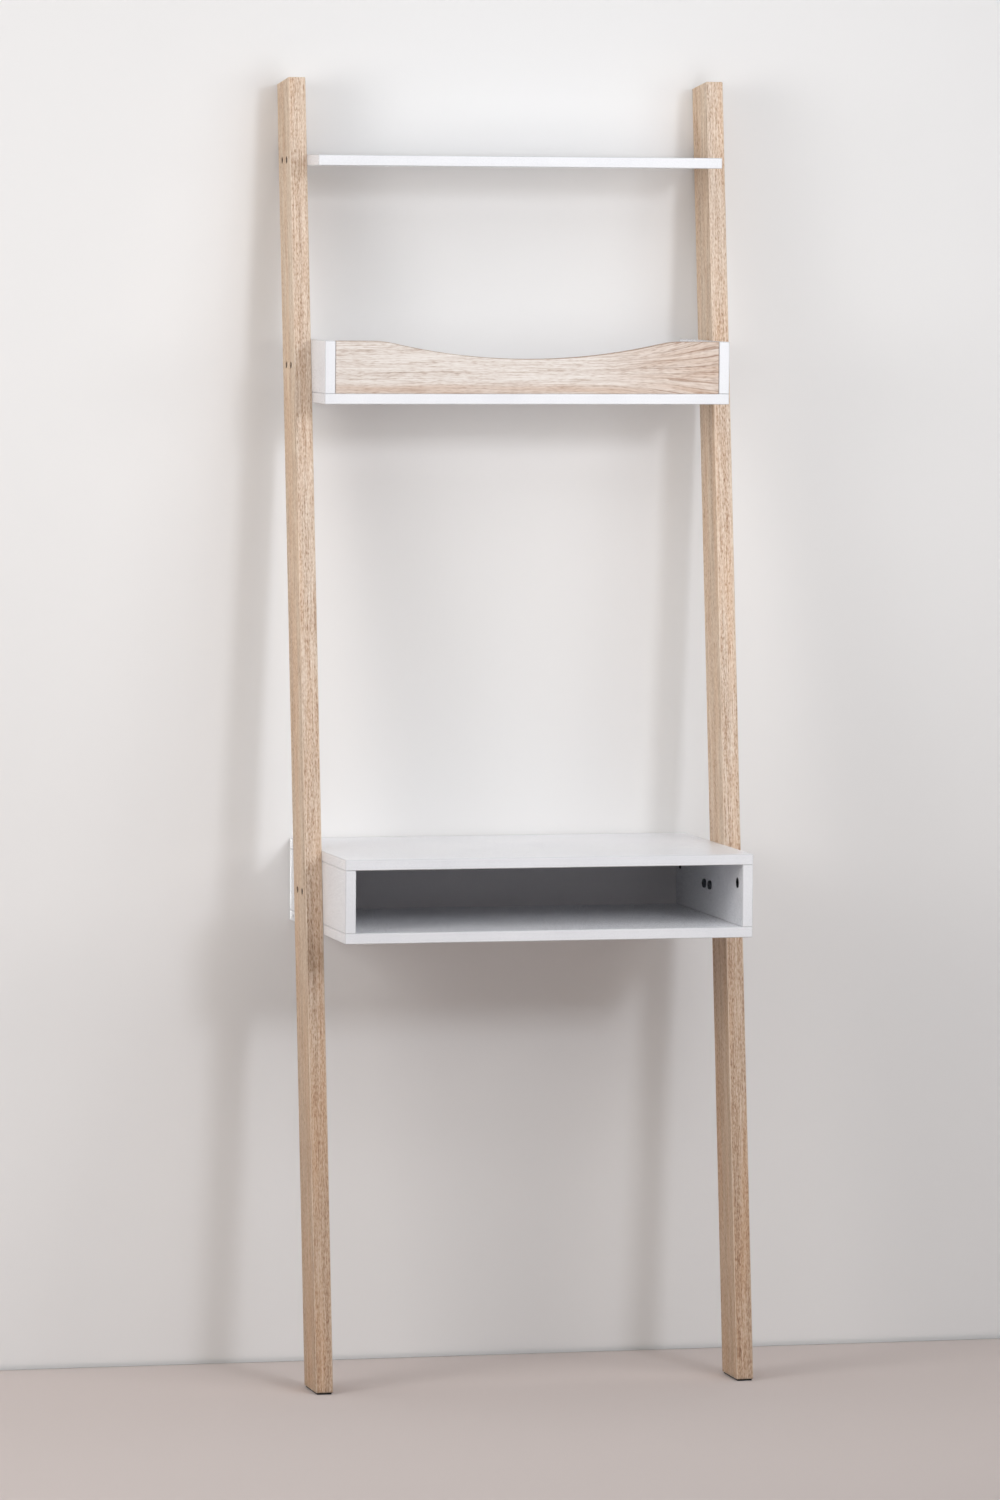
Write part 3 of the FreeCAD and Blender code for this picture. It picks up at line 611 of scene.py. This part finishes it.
@dataclass(frozen=True)
class TurnedBeech(Finish):
    """Beech dowel rod, left bare."""

    # Fine even wood: pinkish tan with short brown ray flecks along the rod.
    span: Pair = (0.0, 1.0)
    roughness: Pair = (0.55, 0.75)
    relief_strength: float = 0.2
    tan: str = "CFA87E"
    fleck: str = "A97C54"
    fleck_size: Triple = (0.6, 0.6, 4)

    def paint(self, tree: bpy.types.NodeTree, place: bpy.types.Node) -> Paint:
        """Paints the flecks.

        Args:
            tree: the material's tree.
            place: its texture coordinates.

        Returns:
            The colour and the pattern.
        """
        flecks = add(tree, "TexNoise", {
            "Vector": add(tree, "Mapping", {
                "Vector": place.outputs["Object"], "Scale": cells(self.fleck_size)}),
            "Scale": 1.0, "Detail": 2.0})
        colour = add(tree, "ValToRGB", {"Fac": flecks}, stops=((0.5, self.tan), (0.72, self.fleck)))
        return colour.outputs[0], flecks.outputs[0]


RAIL_OAK = OakFoil("oak_foil_up_the_rail")
FRONT_OAK = FrontFoil("oak_foil_along_the_front")
WHITE_BOARD = WhiteMelamine("white_melamine")
BACK_BOARD = FacedHardboard("faced_hardboard")
# Dull black lacquer: the bolt heads read as dark dots with no glint.
BOLT_STEEL = Metal("black_lacquered_steel", bright="1A1512", dull="100D0B", patch=0.8,
                   roughness=(0.7, 0.85), metallic=0.0)
# Blackened in an oil bath: dark grey with a soft shine on the flanges.
NUT_STEEL = Metal("blackened_steel", bright="55575B", dull="3C3E42", patch=0.8, roughness=(0.35, 0.5))
# Cast zinc, nearly black: painted shade for a cam that sits in shade in its bore. Patches give the grain of
# the die.
CAM_ALLOY = Metal("zinc_casting_dark_with_painted_shade", bright="2E2F32", dull="212225", patch=0.6, roughness=(0.4, 0.6))
# Bright zinc: pale, cool and patchy, as the plating leaves it.
ZINC_STEEL = Metal("zinc_plated_steel")
RUBBER = FootRubber("foam_rubber")
BEECH = TurnedBeech("bare_beech")


class Section(Enum):
    """The outline of one ring of a turned piece."""

    ROUND = "round"
    HEXAGON = "hexagon"
    FLUTED = "fluted"
    CROSS = "cross"


@dataclass(frozen=True)
class Ring:
    """One ring of a turned piece: its place along the axis and its radius, in millimetres.

    Flutes are cut as deep as the field says, and a cross keeps a share of its radius between its arms.
    """

    along: float
    radius: float
    section: Section = Section.ROUND
    flute: float = 0.4
    cross_waist: float = 0.35

    def point(self, spot: Vector) -> Vector:
        """Finds the ring's point in the direction of another ring's.

        Args:
            spot: the other ring's point.

        Returns:
            The point on this ring.
        """
        step = round(math.atan2(spot.y, spot.x) / RING_STEP)
        angle = step * RING_STEP
        reach = self.radius
        if self.section is Section.HEXAGON:
            reach /= math.cos(angle % (math.pi / 3) - math.pi / 6)
        elif self.section is Section.FLUTED and step % 2:
            reach -= self.flute
        elif self.section is Section.CROSS and step % (RING_POINTS // 4):
            reach *= self.cross_waist
        return Vector((reach * math.cos(angle), reach * math.sin(angle), self.along))


@dataclass(frozen=True)
class Fastener:
    """A small turned piece, grown ring by ring from one end or from the floor of its socket."""

    def rings(self) -> list[Ring]:
        """Lists the rings in the order in which the surface passes through them.

        Returns:
            The rings.
        """
        raise NotImplementedError

    def thread(self, start: float, end: float, crest: float, root: float, pitch: float) -> list[Ring]:
        """Lists the rings of a thread.

        Args:
            start: where it starts along the axis.
            end: where it has to end.
            crest: its outer radius.
            root: its inner radius.
            pitch: the space between two crests.

        Returns:
            The rings, root and crest in turn.
        """
        places = [start + turn * pitch for turn in range(int((end - start) / pitch))]
        return [ring for place in places for ring in (Ring(place, root), Ring(place + pitch / 2, crest))]

    def widest(self) -> float:
        """The largest radius, in metres."""
        return max(ring.radius for ring in self.rings()) * MILLIMETRE

    def grow(self) -> bmesh.types.BMesh:
        """Extrudes a circle through the rings and closes both its ends.

        Returns:
            One fastener in metres, with its axis along Z.
        """
        first, *others = self.rings()
        shape = bmesh.new()
        bmesh.ops.create_circle(shape, cap_ends=True, segments=RING_POINTS, radius=1.0)
        for spot in shape.verts:
            spot.co = first.point(spot.co)
        rim = list(shape.edges)
        for ring in others:
            grown = bmesh.ops.extrude_edge_only(shape, edges=rim)["geom"]
            for spot in (item for item in grown if isinstance(item, bmesh.types.BMVert)):
                spot.co = ring.point(spot.co)
            rim = [item for item in grown if isinstance(item, bmesh.types.BMEdge) and item.is_boundary]
        bmesh.ops.edgeloop_fill(shape, edges=rim)
        bmesh.ops.recalc_face_normals(shape, faces=shape.faces)
        for face in shape.faces:
            face.smooth = True
        for edge in shape.edges:
            edge.smooth = edge.calc_face_angle(0.0) < SHARP
        bmesh.ops.scale(shape, vec=(MILLIMETRE,) * 3, verts=shape.verts)
        return shape


@dataclass(frozen=True)
class RailBolt(Fastener):
    """A socket-head bolt with a thread up to near its head."""

    length: float
    diameter: float = 6
    pitch: float = 1
    thread_depth: float = 0.55
    shank: float = 6
    head_diameter: float = 10
    head_height: float = 5
    head_bevel: float = 0.6
    socket: float = 5
    socket_depth: float = 2.5

    def rings(self) -> list[Ring]:
        """Goes from the socket's floor round the head to the tip.

        Returns:
            The rings.
        """
        key, head, slim = self.socket / 2, self.head_diameter / 2, self.diameter / 2
        root = slim - self.thread_depth
        neck = self.head_height + self.shank
        return [Ring(self.socket_depth, key, Section.HEXAGON), Ring(0, key, Section.HEXAGON),
                Ring(0, head - self.head_bevel), Ring(self.head_bevel, head), Ring(self.head_height, head),
                Ring(self.head_height, slim), Ring(neck, slim),
                *self.thread(neck + self.pitch / 2, self.length - self.pitch, slim, root, self.pitch),
                Ring(self.length - self.thread_depth, root), Ring(self.length, root - self.thread_depth)]


@dataclass(frozen=True)
class CapNut(Fastener):
    """A sleeve nut with a domed flange, a socket in its crown and a fluted sleeve."""

    flange_diameter: float = 13
    flange_height: float = 3.5
    dome: float = 1
    sleeve_diameter: float = 9
    sleeve_length: float = 12
    bore_diameter: float = 6.3
    socket: float = 5
    socket_depth: float = 2.5

    def rings(self) -> list[Ring]:
        """Goes from the socket's floor over the crown and down the sleeve, and up its bore.

        Returns:
            The rings.
        """
        key, wide = self.socket / 2, self.flange_diameter / 2
        sleeve, bore = self.sleeve_diameter / 2, self.bore_diameter / 2
        seat, crown, soft = self.sleeve_length, self.sleeve_length + self.flange_height, self.dome / 2
        return [Ring(crown - self.socket_depth, key, Section.HEXAGON), Ring(crown, key, Section.HEXAGON),
                Ring(crown, wide - 3 * soft), Ring(crown - soft / 2, wide - 3 * soft / 2),
                Ring(crown - self.dome, wide - soft / 4), Ring(crown - 3 * soft, wide), Ring(seat, wide),
                Ring(seat, sleeve), Ring(seat - soft, sleeve, Section.FLUTED),
                Ring(soft, sleeve, Section.FLUTED), Ring(0, sleeve - soft), Ring(0, bore), Ring(seat, bore)]


@dataclass(frozen=True)
class PanelScrew(Fastener):
    """A countersunk screw with a coarse thread for particle board."""

    length: float = 50
    diameter: float = 6
    pitch: float = 3
    thread_depth: float = 0.9
    shank: float = 7
    point: float = 4
    head_diameter: float = 9.5
    head_height: float = 3
    head_rim: float = 1
    socket: float = 4
    socket_depth: float = 2
    tip: float = 0.2

    def rings(self) -> list[Ring]:
        """Goes from the socket's floor round the head to the point.

        Returns:
            The rings.
        """
        key, head, slim = self.socket / 2, self.head_diameter / 2, self.diameter / 2
        root, end = slim - self.thread_depth, self.length - self.point
        return [Ring(self.socket_depth, key, Section.HEXAGON), Ring(0, key, Section.HEXAGON), Ring(0, head),
                Ring(self.head_rim, head), Ring(self.head_height, slim), Ring(self.shank, slim),
                *self.thread(self.shank + self.thread_depth, end, slim, root, self.pitch),
                Ring(end, root), Ring(self.length, self.tip)]


@dataclass(frozen=True)
class BracketScrew(Fastener):
    """A pan-head wood screw with a cross recess."""

    length: float = 14
    diameter: float = 3.5
    pitch: float = 1.4
    thread_depth: float = 0.5
    point: float = 2
    head_diameter: float = 7
    head_height: float = 2
    recess: float = 1.9
    recess_floor: float = 0.6
    recess_depth: float = 1.2
    tip: float = 0.15

    def rings(self) -> list[Ring]:
        """Goes from the recess's floor over the pan head to the point.

        Returns:
            The rings.
        """
        head, slim, pan = self.head_diameter / 2, self.diameter / 2, self.head_height / 2
        root, end = slim - self.thread_depth, self.length - self.point
        return [Ring(self.recess_depth, self.recess_floor, Section.CROSS),
                Ring(0, self.recess, Section.CROSS), Ring(0, head - pan), Ring(pan / 2, head - pan / 3),
                Ring(pan, head), Ring(self.head_height, head), Ring(self.head_height, slim),
                *self.thread(self.head_height + self.thread_depth, end, slim, root, self.pitch),
                Ring(end, root), Ring(self.length, self.tip)]


@dataclass(frozen=True)
class CamPin(Fastener):
    """A pin with a necked head for a cam and a thread for particle board."""

    length: float = 40.5
    diameter: float = 7
    head_length: float = 3
    head_bevel: float = 0.6
    neck_diameter: float = 4.5
    neck_length: float = 4
    thread_length: float = 11
    pitch: float = 2
    thread_depth: float = 0.8

    def rings(self) -> list[Ring]:
        """Goes from the head up to the threaded end.

        Returns:
            The rings.
        """
        wide, neck = self.diameter / 2, self.neck_diameter / 2
        shoulder, root = self.head_length + self.neck_length, wide - self.thread_depth
        start = self.length - self.thread_length
        return [Ring(0, wide - self.head_bevel), Ring(self.head_bevel, wide), Ring(self.head_length, wide),
                Ring(self.head_length, neck), Ring(shoulder, neck), Ring(shoulder, wide), Ring(start, wide),
                *self.thread(start + self.thread_depth, self.length, wide, root, self.pitch),
                Ring(self.length, root)]


@dataclass(frozen=True)
class Dowel(Fastener):
    """A beech dowel, fluted for the glue and bevelled at both ends."""

    length: float = 30
    diameter: float = 8
    bevel: float = 1
    flutes_from: float = 1.5

    def rings(self) -> list[Ring]:
        """Goes from one end to the other.

        Returns:
            The rings.
        """
        wide, end = self.diameter / 2, self.length
        slim = wide - self.bevel
        return [Ring(0, slim), Ring(self.bevel, wide), Ring(self.flutes_from, wide, Section.FLUTED),
                Ring(end - self.flutes_from, wide, Section.FLUTED), Ring(end - self.bevel, wide),
                Ring(end, slim)]


class Stance(Enum):
    """How like fasteners stand: upright on their lowest level, or inwards from both sides of the desk."""

    UPRIGHT = "upright"
    INWARDS = "inwards"


@dataclass(frozen=True)
class FastenerSet:
    """Like fasteners, one at each corner of the node that they stand for."""

    node: str
    fastener: Fastener
    stance: Stance
    finish: Finish
    slot: str

    def rows(self, low: float, high: float) -> list[float]:
        """Finds the fasteners' rows between two sides of their node.

        Args:
            low: the lower side.
            high: the higher side.

        Returns:
            One row in the middle where the node is one fastener wide, and otherwise one at each side.
        """
        reach = self.fastener.widest()
        first, last = low + reach, high - reach
        return [first, last] if last - first > reach else [(low + high) / 2]

    def places(self) -> list[Matrix]:
        """Finds where the fasteners stand.

        Returns:
            What turns and moves one fastener to each place.
        """
        low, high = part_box(self.node)
        lines = self.rows(low.y, high.y)
        if self.stance is Stance.UPRIGHT:
            return [Matrix.Translation((x, y, low.z)) for x in self.rows(low.x, high.x) for y in lines]
        ends = ((low.x, math.pi / 2), (high.x, -math.pi / 2))
        return [Matrix.Translation((end, y, z)) @ Matrix.Rotation(turn, 4, "Y")
                for end, turn in ends for y in lines for z in self.rows(low.z, high.z)]

    def build(self) -> None:
        """Makes the set as one piece that stands for its node."""
        name = f"turned_{self.node}"
        mesh = bpy.data.meshes.new(name)
        one = self.fastener.grow()
        one.to_mesh(mesh)
        one.free()
        several = bmesh.new()
        for place in self.places():
            made = len(several.verts)
            several.from_mesh(mesh)
            several.verts.ensure_lookup_table()
            bmesh.ops.transform(several, matrix=place, verts=several.verts[made:])
        several.to_mesh(mesh)
        several.free()
        piece = bpy.data.objects.new(name, mesh)
        bpy.context.scene.collection.objects.link(piece)
        mesh.materials.append(self.finish.material())
        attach(piece, "root")
        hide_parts(self.node)
        LOG.info("%s: %s", name, self.finish.name)


@dataclass
class SubAssembly:
    """Pieces that are made and fixed together, each with its finish."""

    frame: dict[str, Any]
    finishes: dict[str, Finish] = field(default_factory=dict)
    fasteners: tuple[FastenerSet, ...] = ()

    def build(self) -> None:
        """Makes the turned fasteners."""
        for fasteners in self.fasteners:
            fasteners.build()

    def dress(self) -> None:
        """Gives every other piece its finish."""
        for name, finish in self.finishes.items():
            piece = self.frame["nodes"][name]
            piece.data.materials.clear()
            piece.data.materials.append(finish.material())
            LOG.info("%s: %s", name, finish.name)


@dataclass
class Rails(SubAssembly):
    """The two leaning rails and the pads under their feet."""

    finishes: dict[str, Finish] = field(default_factory=lambda: {
        "left_rail": RAIL_OAK, "right_rail": RAIL_OAK, "left_foot_pad": RUBBER, "right_foot_pad": RUBBER})


@dataclass
class TopShelf(SubAssembly):
    """The plain shelf with the bolts and barrel nuts that hold it."""

    finishes: dict[str, Finish] = field(default_factory=lambda: {
        "top_shelf": WHITE_BOARD, "shelf_barrel_nuts": ZINC_STEEL})
    fasteners: tuple[FastenerSet, ...] = (
        FastenerSet("shelf_bolts", RailBolt(length=56), Stance.INWARDS, BOLT_STEEL, "black_steel"),)


@dataclass
class Tray(SubAssembly):
    """The tray with its scalloped oak-effect front."""

    finishes: dict[str, Finish] = field(default_factory=lambda: {
        "tray_left_side": WHITE_BOARD, "tray_right_side": WHITE_BOARD, "tray_bottom": WHITE_BOARD,
        "tray_front": FRONT_OAK})
    fasteners: tuple[FastenerSet, ...] = (
        FastenerSet("tray_bolts", RailBolt(length=37), Stance.INWARDS, BOLT_STEEL, "black_steel"),
        FastenerSet("tray_cap_nuts", CapNut(), Stance.INWARDS, NUT_STEEL, "black_steel"),
        FastenerSet("tray_side_dowels", Dowel(), Stance.UPRIGHT, BEECH, "beech"),
        FastenerSet("tray_front_dowels", Dowel(), Stance.INWARDS, BEECH, "beech"),
        FastenerSet("tray_bottom_screws", PanelScrew(), Stance.UPRIGHT, ZINC_STEEL, "zinc_steel"),
        FastenerSet("tray_front_screws", PanelScrew(), Stance.UPRIGHT, ZINC_STEEL, "zinc_steel"))


@dataclass
class DeskBox(SubAssembly):
    """The desk box with its open compartment."""

    finishes: dict[str, Finish] = field(default_factory=lambda: {
        "desk_left_side": WHITE_BOARD, "desk_right_side": WHITE_BOARD, "desk_top": WHITE_BOARD,
        "desk_bottom": WHITE_BOARD, "desk_back": BACK_BOARD, "desk_cam_locks": CAM_ALLOY})
    fasteners: tuple[FastenerSet, ...] = (
        FastenerSet("desk_bolts", RailBolt(length=37), Stance.INWARDS, BOLT_STEEL, "black_steel"),
        FastenerSet("desk_cap_nuts", CapNut(), Stance.INWARDS, NUT_STEEL, "black_steel"),
        FastenerSet("desk_cam_pins", CamPin(), Stance.UPRIGHT, ZINC_STEEL, "zinc_steel"),
        FastenerSet("desk_top_dowels", Dowel(), Stance.UPRIGHT, BEECH, "beech"),
        FastenerSet("desk_bottom_dowels", Dowel(), Stance.UPRIGHT, BEECH, "beech"),
        FastenerSet("desk_bottom_screws", PanelScrew(), Stance.UPRIGHT, ZINC_STEEL, "zinc_steel"))


@dataclass
class WallFixings(SubAssembly):
    """The angle brackets that tie the desk box to the wall."""

    finishes: dict[str, Finish] = field(default_factory=lambda: {"wall_brackets": ZINC_STEEL})
    fasteners: tuple[FastenerSet, ...] = (
        FastenerSet("bracket_screws", BracketScrew(), Stance.UPRIGHT, ZINC_STEEL, "zinc_steel"),)


@dataclass(frozen=True)
class Lamp:
    """A soft studio lamp, aimed at the tray's height unless it says otherwise.

    A lamp that isn't mirrored lights the boards without its own bright image on their tops.
    """

    name: str
    place: Triple
    size: Pair
    level: float
    tint: str = "FFFFFF"
    aim: Triple = (0.0, 0.0, 1.4)
    mirrored: bool = True

    def hang(self) -> None:
        """Hangs the lamp. Its level is the share of white that a white board facing it takes from it."""
        away = Vector(self.place) - Vector(self.aim)
        data = bpy.data.lights.new(self.name, "AREA")
        data.shape = "RECTANGLE"
        data.size, data.size_y = self.size
        data.energy = self.level * (math.pi * away.length) ** 2
        data.color = linear(self.tint)[:3]
        lamp = bpy.data.objects.new(self.name, data)
        lamp.location = self.place
        lamp.rotation_mode = "QUATERNION"
        lamp.rotation_quaternion = (-away).to_track_quat("-Z", "Y")
        lamp.visible_glossy = self.mirrored
        bpy.context.scene.collection.objects.link(lamp)
        LOG.info("lamp %s", self.name)


# Soft light from the front and the ceiling, a key from the far right that throws the shadows, and fill from
# both sides. The last lamp stands behind the wall, which only shows from its front, and lights the rear.
LAMPS = (
    Lamp("right_key", (2.07, -6.37, 3.25), (0.9, 0.9), level=0.17, tint="F4F8FF"),
    Lamp("upper_right", (0.6, -1.4, 2.5), (1.4, 0.8), level=0.045, tint="EEF5FF"),
    Lamp("right_side", (2.6, -2.2, 1.9), (1.0, 1.0), level=0.08, tint="FDF9F4", mirrored=False),
    Lamp("right_softbox", (1.3, -1.5, 1.6), (0.8, 0.8), level=0.08, tint="FCFCFC", mirrored=False),
    Lamp("front_softbox", (0.3, -1.3, 1.5), (0.8, 0.8), level=0.295, tint="FCFCFC", mirrored=False),
    Lamp("left_top", (-2.3, -1.6, 2.3), (1.2, 1.2), level=0.08, tint="FFFCF8", mirrored=False),
    Lamp("left_low", (-2.6, -1.6, 1.5), (1.2, 1.2), level=0.15, tint="FFFCF8", mirrored=False),
    Lamp("left_reflector", (-3.1, -1.2, 1.8), (1.4, 1.4), level=0.22, tint="FDFCFC", mirrored=False),
    Lamp("ceiling", (0.0, -2.0, 4.1), (4.0, 3.0), level=0.39, tint="FCFDFF"),
    Lamp("behind_the_wall", (0.8, 4.5, 0.3), (3.0, 0.5), level=0.5, aim=(0.0, 0.0, 0.7)),
)


@dataclass
class Studio:
    """Pale floor just under the desk, pale wall just behind it, lamps and surrounding light."""

    low: Vector
    high: Vector
    floor_grey: str = "D2C8C4"
    wall_white: str = "F0EFEE"
    around: str = "FFFFFF"
    around_level: float = 0.02
    background_level: float = 0.8
    wall_clear: float = 0.001
    floor_clear: float = 0.0005
    near: float = 0.012
    half_width: float = 6.0
    wall_height: float = 4.2
    lamps: tuple[Lamp, ...] = LAMPS

    def _plane(self, name: str, place: Matrix, wide: float, tall: float) -> bpy.types.Object:
        """Makes a flat stage piece.

        Args:
            name: the object's name.
            place: turns and moves a sheet that lies on the floor's plane.
            wide: half its width.
            tall: half its other side.

        Returns:
            The new object.
        """
        sheet = bmesh.new()
        bmesh.ops.create_grid(sheet, x_segments=1, y_segments=1, size=1.0)
        bmesh.ops.scale(sheet, vec=(wide, tall, 1.0), verts=sheet.verts)
        bmesh.ops.transform(sheet, matrix=place, verts=sheet.verts)
        mesh = bpy.data.meshes.new(name)
        sheet.to_mesh(mesh)
        sheet.free()
        made = bpy.data.objects.new(name, mesh)
        bpy.context.scene.collection.objects.link(made)
        made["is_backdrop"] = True
        return made

    def _paint(self, name: str, colour: str) -> bpy.types.Material:
        """Makes a matt stage paint that only shows from its front.

        Light that starts very near the sheet also passes, so that the faces that lie against it aren't
        black from behind.

        Args:
            name: the material's name.
            colour: its sRGB hex colour.

        Returns:
            The new material.
        """
        paint = bpy.data.materials.new(name)
        paint.use_nodes = True
        tree = paint.node_tree
        tree.nodes.clear()
        matt = add(tree, "BsdfDiffuse", {"Color": linear(colour)})
        clear = add(tree, "BsdfTransparent")
        geometry = add(tree, "NewGeometry")
        path = add(tree, "LightPath")
        near = add(tree, "Math", {0: path.outputs["Ray Length"], 1: self.near}, operation="LESS_THAN")
        passes = add(tree, "Math", {0: geometry.outputs["Backfacing"], 1: near}, operation="MAXIMUM")
        surface = add(tree, "MixShader", {0: passes, 1: matt, 2: clear})
        add(tree, "OutputMaterial", {"Surface": surface})
        return paint

    def build(self) -> None:
        """Builds floor, wall, world and lamps."""
        level = Matrix.Translation((0, 0, self.low.z - self.floor_clear))
        floor = self._plane("stage_floor", level, self.half_width, self.half_width)
        floor.data.materials.append(self._paint("matt_floor", self.floor_grey))
        behind = Matrix.Translation((0, self.high.y + self.wall_clear, self.wall_height / 2))
        upright = behind @ Matrix.Rotation(math.pi / 2, 4, "X")
        wall = self._plane("stage_wall", upright, self.half_width, self.wall_height / 2)
        wall.data.materials.append(self._paint("matt_wall", self.wall_white))
        world = bpy.data.worlds.new("studio")
        world.use_nodes = True
        tree = world.node_tree
        tree.nodes.clear()
        path = add(tree, "LightPath")
        seen = add(tree, "Math", {0: path.outputs["Is Camera Ray"], 1: path.outputs["Is Glossy Ray"]},
                   operation="MAXIMUM")
        light = add(tree, "Background", {"Color": linear(self.around), "Strength": self.around_level})
        shown = add(tree, "Background", {"Color": linear(self.around), "Strength": self.background_level})
        both = add(tree, "MixShader", {0: seen, 1: light, 2: shown})
        add(tree, "OutputWorld", {"Surface": both})
        bpy.context.scene.world = world
        for lamp in self.lamps:
            lamp.hang()


@dataclass(frozen=True)
class PhotoCamera:
    """The camera, at the photograph's viewing angle.

    Its place is in metres and its angles are in degrees, fitted to the desk's corners in the photograph.
    """

    location: Triple = (-2.5777, -10.1313, 1.6801)
    yaw: float = 14.1174
    pitch: float = -4.2840
    roll: float = 0.4311
    focal_pixels: float = 7361.4

    def build(self) -> None:
        """Sets the scene's camera."""
        data = bpy.data.cameras.new("photo_camera")
        data.sensor_width = SENSOR
        data.lens = self.focal_pixels * SENSOR / PHOTO_LONG_SIDE
        camera = bpy.data.objects.new("photo_camera", data)
        camera.location = self.location
        turn = (Matrix.Rotation(math.radians(-self.yaw), 3, "Z")
                @ Matrix.Rotation(math.radians(90 + self.pitch), 3, "X")
                @ Matrix.Rotation(math.radians(self.roll), 3, "Z"))
        camera.rotation_euler = turn.to_euler()
        bpy.context.scene.collection.objects.link(camera)
        bpy.context.scene.camera = camera


def main() -> None:
    """Builds the scene, placing the stage by the model's size before it is dressed."""
    logging.basicConfig(level=logging.INFO, format="%(name)s: %(message)s")
    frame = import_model()
    cad_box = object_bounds()
    for part in (Rails, TopShelf, Tray, DeskBox, WallFixings):
        made = part(frame)
        made.build()
        made.dress()
    Studio(*cad_box).build()
    PhotoCamera().build()
    bpy.context.scene.view_settings.view_transform = "Standard"


if __name__ == "__main__":
    main()
